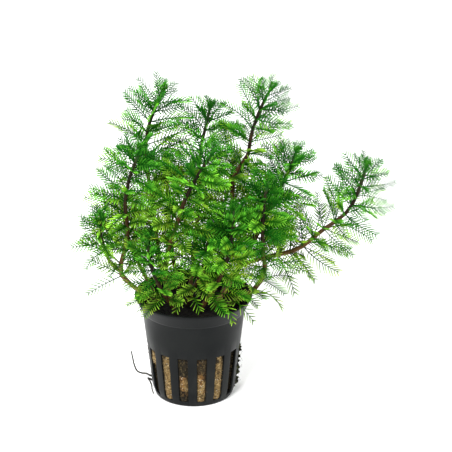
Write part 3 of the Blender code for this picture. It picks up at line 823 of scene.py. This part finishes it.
combShape = {
    "needleSides": 3,
    "needlePoints": 3,
    "needleGirth": [(0, 0.75), (0.5, 1.1), (1, 0.45)],
    "needleOutline": [(0, 0.62), (0.3, 0.98), (0.7, 0.88), (1, 0.54)],
    "needleLength": (0.86, 1.06),
    "stalkSides": 5,
    "stalkSteps": 8,
    "stalkTaper": (-0.62, 1.0),
    "lastNeedle": 0.93,
    "gapPower": 0.92,
    "pairStray": 0.18,
    "spreadStray": 0.12,
    "liftStray": 0.22,
}


def makeNeedle(tree):
    # Unit length along X, unit radius, with its own place from 0 to 1 stored as outward
    line = addNode(tree, "GeometryNodeCurvePrimitiveLine", {"Start": (0, 0, 0), "End": (1, 0, 0)})
    points = addNode(tree, "GeometryNodeResampleCurve",
                     {"Curve": line.outputs[0], "Count": combShape["needlePoints"]})
    along = tree.nodes.new("GeometryNodeSplineParameter").outputs["Factor"]
    girth = floatCurve(tree, along, combShape["needleGirth"])
    marked = storeNumber(tree, points.outputs[0], "outward", along)
    return tube(tree, marked, combShape["needleSides"], Scale=girth)


def makeLeafTree():
    shape = combShape
    tree, given, out = newGeometryTree("combLeaf", [
        "Length", "Needle", "Needle Radius", "Stalk Radius", "Bare", "Spread Low", "Spread High", "Lift",
        "Ragged"], {"Bend": "Vector", "Pairs": "Int", "Seed": "Int"})
    stalk = quadraticLine(tree, shape["stalkSteps"], given["Bend"], vectorOf(tree, given["Length"]))
    along = tree.nodes.new("GeometryNodeSplineParameter").outputs["Factor"]
    taper = calc(tree, "MULTIPLY_ADD", along, *shape["stalkTaper"])
    stalkMesh = tube(tree, stalk, shape["stalkSides"], Scale=product(tree, given["Stalk Radius"], taper))
    count = product(tree, given["Pairs"], 2.0)
    line = addNode(tree, "GeometryNodeMeshLine", {"Count": count}, mode="OFFSET")
    index = tree.nodes.new("GeometryNodeInputIndex").outputs[0]
    pair = calc(tree, "FLOOR", calc(tree, "DIVIDE", index, 2.0))
    side = calc(tree, "MULTIPLY_ADD", calc(tree, "MODULO", index, 2.0), 2.0, -1.0)

    def wobble(low, high, number):
        return randomValue(tree, low, high, total(tree, given["Seed"], float(number)))

    def stray(most, number):
        return product(tree, given["Ragged"], wobble(-most, most, number))

    share = total(tree, pair, stray(shape["pairStray"], 11))
    share = calc(tree, "DIVIDE", share, minus(tree, given["Pairs"], 1.0))
    share = calc(tree, "POWER", calc(tree, "MAXIMUM", share, 0.0), shape["gapPower"])
    reach = minus(tree, shape["lastNeedle"], given["Bare"])
    factor = calc(tree, "MULTIPLY_ADD", share, reach, given["Bare"])
    sample = addNode(tree, "GeometryNodeSampleCurve", {"Curves": stalk, "Factor": factor}, mode="FACTOR").outputs
    tangent = vectorCalc(tree, "NORMALIZE", sample["Tangent"])
    normal = vectorCalc(tree, "CROSS_PRODUCT", tangent, (0, 1, 0))
    spread = addNode(tree, "ShaderNodeMix", {0: share, 2: given["Spread Low"], 3: given["Spread High"]}).outputs[0]
    spread = total(tree, spread, stray(shape["spreadStray"], 23))
    lift = total(tree, given["Lift"], stray(shape["liftStray"], 37))
    across = calc(tree, "SINE", spread)
    forward = scaled(tree, tangent, calc(tree, "COSINE", spread))
    sideways = vectorOf(tree, 0.0, product(tree, side, across, calc(tree, "COSINE", lift)))
    upwards = scaled(tree, normal, product(tree, across, calc(tree, "SINE", lift)))
    heading = vectorCalc(tree, "ADD", vectorCalc(tree, "ADD", forward, sideways), upwards)
    outline = floatCurve(tree, share, shape["needleOutline"])
    length = product(tree, given["Needle"], outline, wobble(*shape["needleLength"], 41))
    placed = addNode(tree, "GeometryNodeSetPosition", {0: line.outputs[0], 2: sample["Position"]})
    # Painted sheen: a random lightness for each needle, standing in for lit and shaded needles
    paintedSheenNeedles = storeNumber(tree, placed.outputs[0], "paintedSheen", wobble(0.0, 1.0, 53))
    needles = instances(tree, {
        "Points": paintedSheenNeedles, "Instance": makeNeedle(tree), "Rotation": facingBoth(tree, heading, normal),
        "Scale": vectorOf(tree, length, given["Needle Radius"], given["Needle Radius"])})
    tree.links.new(smoothed(tree, realized(tree, joined(tree, needles, stalkMesh))), out)
    return tree


leafColors = {
    "base": [(0.0, (0.005, 0.080, 0.005)), (0.30, (0.005, 0.085, 0.003)), (0.60, (0.006, 0.080, 0.002)),
             (1.0, (0.010, 0.060, 0.001))],
    "tip": [(0.0, (0.050, 0.290, 0.022)), (0.30, (0.130, 0.560, 0.035)), (0.60, (0.340, 0.930, 0.060)),
            (0.85, (0.420, 0.800, 0.060)), (1.0, (0.330, 0.580, 0.060))],
    "shade": (0.12, 0.22, 0.10),
    "olive": (0.420, 0.480, 0.020),
}
# A pair named Light, Shift or Shade is a slope and what it starts from, and a Noise is its scale and detail
leafLook = {
    "roughness": 0.5,
    "specular": 0.02,
    "cloudNoise": (70.0, 3.0),
    "cloudShows": (0.3, 0.7),
    "cloudShift": (0.4, -0.2),
    "toneShift": (0.5, -0.25),
    "tipPower": 1.2,
    "toneLight": (0.8, 0.35),
    "paintedSheenLight": (1.1, 0.4),
    "crowdLight": (0.35, 0.82),
    "crowdShade": (-0.9, 1.0),
    "driftNoise": (110.0, 2.0),
    "driftShows": (0.53, 0.66),
    "oliveFromAge": (0.15, 0.35),
    "oliveShare": 0.7,
}


def makeLeafMaterial():
    # Greener and bluer near a shoot's tip, yellower lower down, lighter towards each needle's end, partly the
    # needles' own colour and partly painted highlight, lighter on random leaves and needles as painted sheen, and
    # darker where leaves crowd each other as painted shade
    look = leafLook
    material, tree, shader = newMaterial("leafGreen", look["roughness"], look["specular"])
    place = objectPlace(tree)
    age, tone, outward, crowd, paintedSheen = (
        readAttribute(tree, name) for name in ("age", "tone", "outward", "crowd", "paintedSheen"))

    def slope(value, label):
        return calc(tree, "MULTIPLY_ADD", value, *look[label])

    def patches(label):
        return smoothStep(tree, noiseAt(tree, place, *look[label + "Noise"]), *look[label + "Shows"])

    shift = total(tree, slope(tone, "toneShift"), slope(patches("cloud"), "cloudShift"))
    aged = total(tree, age, shift)
    # Lightness between base and tip colour: towards each needle's end partly the needles' own colour and partly
    # painted highlight, with painted sheen on random leaves and needles
    light = product(tree, calc(tree, "POWER", outward, look["tipPower"]), slope(tone, "toneLight"),
                    slope(paintedSheen, "paintedSheenLight"), slope(crowd, "crowdLight"))
    green = mixColors(tree, light, *(colorRamp(tree, aged, leafColors[end]) for end in ("base", "tip")))
    olive = product(tree, patches("drift"), smoothStep(tree, age, *look["oliveFromAge"]))
    olive = product(tree, olive, product(tree, light, look["oliveShare"]))
    green = mixColors(tree, olive, green, leafColors["olive"])
    # Painted shade: leaves crowded deep in the clump are darkened, most at the needles' bases
    shaded = product(tree, crowd, slope(light, "crowdShade"))
    green = mixColors(tree, shaded, green, leafColors["shade"], "MULTIPLY")
    tree.links.new(green, shader.inputs["Base Color"])
    return material


barkColors = {
    "skin": [(0.0, (0.015, 0.080, 0.012)), (0.10, (0.020, 0.024, 0.006)), (0.25, (0.018, 0.011, 0.004)),
             (0.50, (0.095, 0.046, 0.015)), (0.75, (0.220, 0.122, 0.044)), (1.0, (0.260, 0.165, 0.066))],
    "crack": (0.45, 0.40, 0.36),
    "scar": (0.50, 0.50, 0.36),
    "dampAndPaintedShade": (0.006, 0.004, 0.002),
}
barkLook = {
    "roughness": 0.6,
    "specular": 0.2,
    "streakNoise": (1100.0, 4.0),
    "streakStretch": (1.0, 1.0, 0.22),
    "patchNoise": (300.0, 3.0),
    "patchShift": 0.45,
    "oldFrom": (0.05, 0.25),
    "crackShows": (0.50, 0.38),
    "paintedShadeBelowMm": (53, 44),
    "bump": (0.7, 0.4),
}


def makeStemMaterial():
    # Green at the tip, then dark, then brown bark with lengthwise cracks and a dark scar at each node, and darkened
    # low down in the pot's mouth, partly damp and partly painted shade
    look = barkLook
    material, tree, shader = newMaterial("stemSkin", look["roughness"], look["specular"])
    below = readAttribute(tree, "below")
    place = objectPlace(tree)
    stretch = addNode(tree, "ShaderNodeMapping", {0: place, 3: look["streakStretch"]}).outputs[0]
    streak = noiseAt(tree, stretch, *look["streakNoise"])
    patch = noiseAt(tree, place, *look["patchNoise"])
    shifted = calc(tree, "MULTIPLY_ADD", minus(tree, patch, 0.5), look["patchShift"], below)
    skin = colorRamp(tree, shifted, barkColors["skin"])
    old = smoothStep(tree, below, *look["oldFrom"])
    crack = product(tree, smoothStep(tree, streak, *look["crackShows"]), old)
    skin = mixColors(tree, crack, skin, barkColors["crack"], "MULTIPLY")
    scar = product(tree, readAttribute(tree, "joint"), old)
    skin = mixColors(tree, scar, skin, barkColors["scar"], "MULTIPLY")
    # Painted shade: darker low down inside the pot's mouth, partly damp stem and partly painted shade
    dampAndPaintedShade = smoothStepMm(tree, partsOf(tree, place)[2], look["paintedShadeBelowMm"])
    skin = mixColors(tree, dampAndPaintedShade, skin, barkColors["dampAndPaintedShade"])
    tree.links.new(skin, shader.inputs["Base Color"])
    addBump(tree, shader, streak, *look["bump"])
    return material


def makeLeafKinds(collection):
    tree = makeLeafTree()
    kinds = []

    def addKind(name, shape, length, bend, seed):
        leaf = newObject(f"leafKind{len(kinds):02d}{name}", emptyMesh("leaf"), collection)
        spreadLow, spreadHigh = shape["spreadDeg"]
        runTree(leaf, tree, {
            "Length": length, "Bend": bend, "Pairs": shape["pairs"], "Needle": shape["needleMm"] * mm,
            "Needle Radius": shape["needleRadiusMm"] * mm, "Stalk Radius": shape["stalkRadiusMm"] * mm,
            "Bare": shape["bare"], "Spread Low": math.radians(spreadLow), "Spread High": math.radians(spreadHigh),
            "Lift": math.radians(shape["liftDeg"]), "Ragged": shape["ragged"], "Seed": seed})
        kinds.append(leaf)
        return len(kinds) - 1

    chosen = {}
    for number, (name, shape) in enumerate(leafKinds.items()):
        length = shape["lengthMm"] * mm
        rng = random.Random(leafChoice["seed"] + number)
        chosen[name] = []
        for variant in range(leafChoice["variants"]):
            arch = shape["archMm"] * mm * rng.uniform(*leafChoice["arch"])
            bend = (length * rng.uniform(*leafChoice["bendPlace"]), length * rng.uniform(*leafChoice["bendAside"]),
                    arch)
            chosen[name].append(addKind(name, shape, length, bend, leafChoice["seedStep"] * number + variant))
    return chosen, addKind, kinds


def makeShootTree(kindCollection, leafMaterial, stemMaterial):
    tree, given, out = newGeometryTree("growShoot", ["Stem Step"], {"Stem Sides": "Int"})
    parted = addNode(tree, "GeometryNodeSeparateGeometry", {0: given["Geometry"], 1: fieldOf(tree, "isSeat")},
                     domain="POINT").outputs
    kinds = addNode(tree, "GeometryNodeCollectionInfo", {0: kindCollection, 1: True, 2: True})
    turn = facingBoth(tree, fieldOf(tree, "heading", "FLOAT_VECTOR"), fieldOf(tree, "upper", "FLOAT_VECTOR"))
    leaves = instances(tree, {
        "Points": parted[0], "Instance": kinds.outputs[0], "Pick Instance": True,
        "Instance Index": fieldOf(tree, "kind", "INT"), "Rotation": turn, "Scale": fieldOf(tree, "size")})
    line = addNode(tree, "GeometryNodeMeshToCurve", {0: parted[1]})
    soft = addNode(tree, "GeometryNodeCurveSplineType", {0: line.outputs[0]}, spline_type="CATMULL_ROM")
    even = addNode(tree, "GeometryNodeResampleCurve", {"Curve": soft.outputs[0], "Length": given["Stem Step"]},
                   mode="LENGTH")
    stem = tube(tree, even.outputs[0], given["Stem Sides"], Scale=fieldOf(tree, "girth"))
    whole = joined(tree, withMaterial(tree, realized(tree, leaves), leafMaterial),
                   withMaterial(tree, stem, stemMaterial))
    tree.links.new(smoothed(tree, whole), out)
    return tree


shootLook = {
    "seed": 300,
    "twinShare": (0.55, 1.5),
    "twinFromAge": 0.12,
    "twinAboveMm": 60.0,
    "twinTurnDeg": (20, 38),
    "twinLength": (0.78, 0.97),
    "twinShift": 0.12,
    "rollDeg": 24.0,
    "lightWay": (0.0, -0.75, 0.66),
    "lightTurn": 0.6,
    "drapePlace": (0.35, 0.65),
    "stemShare": 0.86,
    "tipShare": 0.5,
    "nodeSwell": 1.16,
    "nodeGapMm": 1.3,
    "ageReachMm": 62.0,
    "ageReachShare": 0.8,
    "barkReachMm": 75.0,
    "crowdReachMm": 14.0,
    "crowdCount": (18, 50),
    "budLeaves": 9,
    "budLengthMm": 4.6,
    "budLength": (0.7, 1.0),
    "budSpread": (0.10, 0.34),
    "budStray": 0.3,
    "budDepthMm": 1.2,
    "budOffsetMm": 0.2,
    "stemSides": 10,
    "stemStepMm": 0.8,
}


def budSeats(rings, rng):
    # The tuft of tiny leaves at a shoot's tip
    look = shootLook
    seats = []
    tip = rings[0][0]
    up = (tip - rings[2][0]).normalized()
    side = up.cross(yAxis).normalized()
    for i in range(look["budLeaves"]):
        angle = math.tau * i / look["budLeaves"] + rng.uniform(-look["budStray"], look["budStray"])
        away = side * math.cos(angle) + up.cross(side) * math.sin(angle)
        heading = (up + away * rng.uniform(*look["budSpread"])).normalized()
        length = look["budLengthMm"] * mm * rng.uniform(*look["budLength"])
        root = tip - up * look["budDepthMm"] * mm + away * look["budOffsetMm"] * mm
        # The bit of away keeps this from being nought where a leaf follows the stem
        upper = (up - heading * up.dot(heading) - away * 0.01).normalized()
        seats.append({"root": root, "tip": root + heading * length, "upper": upper})
    return seats


def twinSeat(seat, rng):
    # A second leaf beside one of the solid's blades, because a whorl has more leaves than the solid has blades
    turnDeg = rng.uniform(*shootLook["twinTurnDeg"]) * rng.choice((-1, 1))
    turn = Matrix.Rotation(math.radians(turnDeg), 3, seat["stemWay"])
    chord = turn @ (seat["tip"] - seat["root"]) * rng.uniform(*shootLook["twinLength"])
    chord += seat["stemWay"] * rng.uniform(-shootLook["twinShift"], shootLook["twinShift"]) * chord.length
    return {**seat, "tip": seat["root"] + chord, "upper": squareTo(seat["upper"], chord.normalized())}


def turnedToLight(seat):
    # Leaves twist on their stalks to face the light, with whichever side is nearer to it
    light = Vector(shootLook["lightWay"])
    light -= seat["heading"] * light.dot(seat["heading"])
    if light.dot(seat["upper"]) < 0:
        light.negate()
    return seat["upper"].lerp(light, shootLook["lightTurn"]).normalized()


def leafLabel(lengthMm, age):
    if lengthMm < leafChoice["youngBelowMm"]:
        return "young"
    if lengthMm < leafChoice["middleBelowMm"]:
        return "middle"
    return "old" if age > leafChoice["oldFromAge"] else "grown"


def planShoot(name, number):
    rng = random.Random(shootLook["seed"] + number)
    seats, draped, rings = readShoot(name)
    lengths = [0.0]
    for (first, _), (second, _) in zip(rings, rings[1:]):
        lengths.append(lengths[-1] + (second - first).length)
    ageReach = min(shootLook["ageReachMm"] * mm, shootLook["ageReachShare"] * lengths[-1])
    if name in branchStartMm:
        rings.append((Vector(branchStartMm[name]) * mm, rings[-1][1]))
        lengths.append(lengths[-1])
    seats = budSeats(rings, rng) + seats + draped
    for seat in seats:
        nearest = min(range(len(rings)), key=lambda i: (rings[i][0] - seat["root"]).length)
        above, below = rings[max(nearest - 1, 0)][0], rings[min(nearest + 1, len(rings) - 1)][0]
        seat["stemWay"] = (above - below).normalized()
        seat["age"] = min(1.0, lengths[nearest] / ageReach)
    return {"name": name, "rings": rings, "lengths": lengths, "seats": seats, "rng": rng}


def markCrowding(plans):
    # How many leaves stand round each one, from 0 in the open to 1 deep inside the clump
    seats = [seat for plan in plans for seat in plan["seats"]]
    tree = KDTree(len(seats))
    for i, seat in enumerate(seats):
        tree.insert((seat["root"] + seat["tip"]) / 2, i)
    tree.balance()
    few, many = shootLook["crowdCount"]
    for seat in seats:
        count = len(tree.find_range((seat["root"] + seat["tip"]) / 2, shootLook["crowdReachMm"] * mm))
        seat["crowd"] = clamp((count - few) / (many - few))


def drapedBend(seat, chord):
    # The middle handle that takes a leaf's arch through its turning point
    rise = seat["turning"] - seat["root"]
    weight = clamp(rise.dot(seat["heading"]) / chord.length, *shootLook["drapePlace"])
    reach = 2 * weight * (1 - weight)
    return (rise.dot(seat["heading"]) - weight ** 2 * chord.length) / reach, 0, rise.dot(seat["upper"]) / reach


def dressSeats(plan, chosen, addKind, kinds):
    # Picks each seat's leaf. About every other seat in the open gets a twin, and inside the clump
    # nearly each gets one or two
    rng = plan["rng"]
    alone, crowded = shootLook["twinShare"]
    twins = []
    for seat in plan["seats"]:
        if (seat["age"] > shootLook["twinFromAge"] and seat["tip"].z > shootLook["twinAboveMm"] * mm
                and "turning" not in seat):
            count = int(alone + (crowded - alone) * seat["crowd"] + rng.random())
            twins += [twinSeat(seat, rng) for _ in range(count)]
    plan["seats"] += twins
    for seat in plan["seats"]:
        chord = seat["tip"] - seat["root"]
        seat["heading"] = chord.normalized()
        seat["tone"] = rng.random()
        if "turning" in seat:
            seed = leafChoice["drapedSeed"] + len(kinds)
            seat["kind"] = addKind("draped", leafKinds["old"], chord.length, drapedBend(seat, chord), seed)
            seat["size"] = 1.0
        else:
            label = leafLabel(chord.length / mm, seat["age"])
            seat["kind"] = rng.choice(chosen[label])
            seat["size"] = chord.length / mm / leafKinds[label]["lengthMm"]
            roll = math.radians(rng.gauss(0, shootLook["rollDeg"]))
            seat["upper"] = Matrix.Rotation(roll, 3, seat["heading"]) @ turnedToLight(seat)


def growShoot(plan, tree):
    rings, lengths, leaves = plan["rings"], plan["lengths"], plan["seats"]
    stemCount = len(rings)
    mesh = emptyMesh(plan["name"])
    points = [centre for centre, _ in rings] + [leaf["root"] for leaf in leaves]
    mesh.from_pydata(points, [(i, i + 1) for i in range(stemCount - 1)], [])
    girth = [shootLook["stemShare"] * radius for _, radius in rings]
    joint = [0.0] * stemCount
    for i in range(1, stemCount - 1):
        if min(lengths[i + 1] - lengths[i], lengths[i] - lengths[i - 1]) < shootLook["nodeGapMm"] * mm:
            girth[i] *= shootLook["nodeSwell"]
            joint[i] = 1.0
    girth[0] = girth[1] * shootLook["tipShare"]
    below = [min(1.0, length / (shootLook["barkReachMm"] * mm)) for length in lengths]
    fields = {"isSeat": ("BOOLEAN", [False] * stemCount + [True] * len(leaves))}
    for label, values in (("girth", girth), ("joint", joint), ("below", below)):
        fields[label] = ("FLOAT", values + [0.0] * len(leaves))
    for label in ("size", "tone", "age", "crowd"):
        fields[label] = ("FLOAT", [0.0] * stemCount + [leaf[label] for leaf in leaves])
    fields["kind"] = ("INT", [0] * stemCount + [leaf["kind"] for leaf in leaves])
    for label, idle in (("heading", (1, 0, 0)), ("upper", (0, 0, 1))):
        numbers = [c for _ in range(stemCount) for c in idle] + [c for leaf in leaves for c in leaf[label]]
        fields[label] = ("FLOAT_VECTOR", numbers)
    for label, (kind, data) in fields.items():
        field = mesh.attributes.new(label, kind, "POINT")
        field.data.foreach_set("vector" if kind == "FLOAT_VECTOR" else "value", data)
    shoot = newObject(plan["name"] + "_grown", mesh)
    runTree(shoot, tree, {"Stem Sides": shootLook["stemSides"], "Stem Step": shootLook["stemStepMm"] * mm})
    return settle(shoot, plan["name"])


def growShoots():
    kindCollection = bpy.data.collections.new("leafKinds")
    bpy.context.scene.collection.children.link(kindCollection)
    chosen, addKind, kinds = makeLeafKinds(kindCollection)
    names = sorted(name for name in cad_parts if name.startswith(("shoot", "side")))
    plans = [planShoot(name, number) for number, name in enumerate(names)]
    markCrowding(plans)
    for plan in plans:
        dressSeats(plan, chosen, addKind, kinds)
    tree = makeShootTree(kindCollection, makeLeafMaterial(), makeStemMaterial())
    faces = sum(len(growShoot(plan, tree).data.polygons) for plan in plans)
    for leaf in kinds:
        bpy.data.objects.remove(leaf, do_unlink=True)
    bpy.data.collections.remove(kindCollection)
    leaves = sum(len(plan["seats"]) for plan in plans)
    print("shoots:", len(names), "with", leaves, "leaves and", faces, "faces")


growShoots()


# Stray roots

rootShape = {
    "stray_root_long": {"routeMm": [(-19.0, -2.2, 7.9), (-20.9, -2.4, 8.7), (-22.4, -2.0, 9.3), (-24.6, -1.6, 9.4),
                                    (-26.6, -1.2, 10.2), (-27.9, -0.9, 12.8), (-28.8, -0.8, 17.0),
                                    (-29.4, -0.7, 20.3)], "radiusMm": (0.56, 0.30)},
    "stray_root_short": {"routeMm": [(-19.1, -2.6, 6.0), (-20.9, -3.2, 7.2), (-21.5, -5.2, 8.4), (-20.5, -7.4, 7.8),
                                     (-19.8, -8.1, 6.2), (-19.6, -8.8, 4.6), (-18.9, -9.8, 2.6)],
                         "radiusMm": (0.52, 0.28)},
}
rootLook = {
    "roughness": 0.6,
    "colors": ((0.006, 0.006, 0.004), (0.030, 0.026, 0.014)),
    "grain": (3000.0, 700.0, 0.5),
    "bump": (0.6, 0.3),
}


def makeRootMaterial():
    material, tree, shader = newMaterial("rootSkin", rootLook["roughness"])
    grain = placeGrain(tree, *rootLook["grain"])
    tree.links.new(mixColors(tree, grain["Mask"], *rootLook["colors"]), shader.inputs["Base Color"])
    addBump(tree, shader, grain["Height"], *rootLook["bump"])
    return material


def makeRoots():
    material = makeRootMaterial()
    for name, shape in rootShape.items():
        thick, thin = shape["radiusMm"]
        last = len(shape["routeMm"]) - 1
        curve = bpy.data.curves.new(name, "CURVE")
        curve.dimensions = "3D"
        curve.bevel_depth = thick * mm
        curve.bevel_resolution = 2
        curve.resolution_u = 6
        curve.use_fill_caps = True
        spline = curve.splines.new("BEZIER")
        spline.bezier_points.add(last)
        for i, (point, place) in enumerate(zip(spline.bezier_points, shape["routeMm"])):
            point.co = Vector(place) * mm
            point.handle_left_type = point.handle_right_type = "AUTO"
            point.radius = 1 + (thin / thick - 1) * i / last
        guide = bpy.data.objects.new(name + "_guide", curve)
        bpy.context.scene.collection.objects.link(guide)
        root = newObject(name + "_skin", evaluatedMesh(guide))
        bpy.data.objects.remove(guide)
        bm = bmesh.new()
        bm.from_mesh(root.data)
        bmesh.ops.remove_doubles(bm, verts=bm.verts, dist=sameSpot)
        bm.to_mesh(root.data)
        bm.free()
        root.data.shade_smooth()
        root.data.materials.clear()
        root.data.materials.append(material)
        settle(root, name)


makeRoots()
print("roots: done")


# Floor and light

studio = {
    "floorSizeMm": 6000,
    "floorColor": (0.90, 0.90, 0.90),
    "floorRoughness": 0.9,
    "worldColor": (1.0, 1.0, 1.0),
    "worldStrength": 0.75,
    "aimMm": (0, 0, 80),
    "lights": {
        "key": {"placeMm": (-350, -750, 900), "sizeMm": 450, "watts": 20.0},
        "fill": {"placeMm": (700, -500, 500), "sizeMm": 700, "watts": 5.0},
        "back": {"placeMm": (-500, 600, 600), "sizeMm": 500, "watts": 6.0},
    },
}


def makeStudio():
    bm = bmesh.new()
    bmesh.ops.create_grid(bm, x_segments=1, y_segments=1, size=studio["floorSizeMm"] * mm / 2)
    floor = newObject("studioFloor", asMesh(bm, "studioFloor"))
    material, _, shader = newMaterial("studioFloor", studio["floorRoughness"])
    shader.inputs["Base Color"].default_value = (*studio["floorColor"], 1)
    floor.data.materials.append(material)
    world = bpy.context.scene.world or bpy.data.worlds.new("studio")
    bpy.context.scene.world = world
    world.use_nodes = True
    sky = world.node_tree.nodes["Background"]
    sky.inputs[0].default_value = (*studio["worldColor"], 1)
    sky.inputs[1].default_value = studio["worldStrength"]
    target = Vector(studio["aimMm"]) * mm
    for name, light in studio["lights"].items():
        data = bpy.data.lights.new(name, "AREA")
        data.size = light["sizeMm"] * mm
        data.energy = light["watts"]
        lamp = bpy.data.objects.new(name, data)
        bpy.context.scene.collection.objects.link(lamp)
        lamp.location = Vector(light["placeMm"]) * mm
        lamp.rotation_euler = (target - lamp.location).to_track_quat("-Z", "Y").to_euler()
    bpy.context.scene.view_settings.view_transform = "Standard"
    bpy.context.scene.view_settings.look = "None"


makeStudio()
print("studio: done")
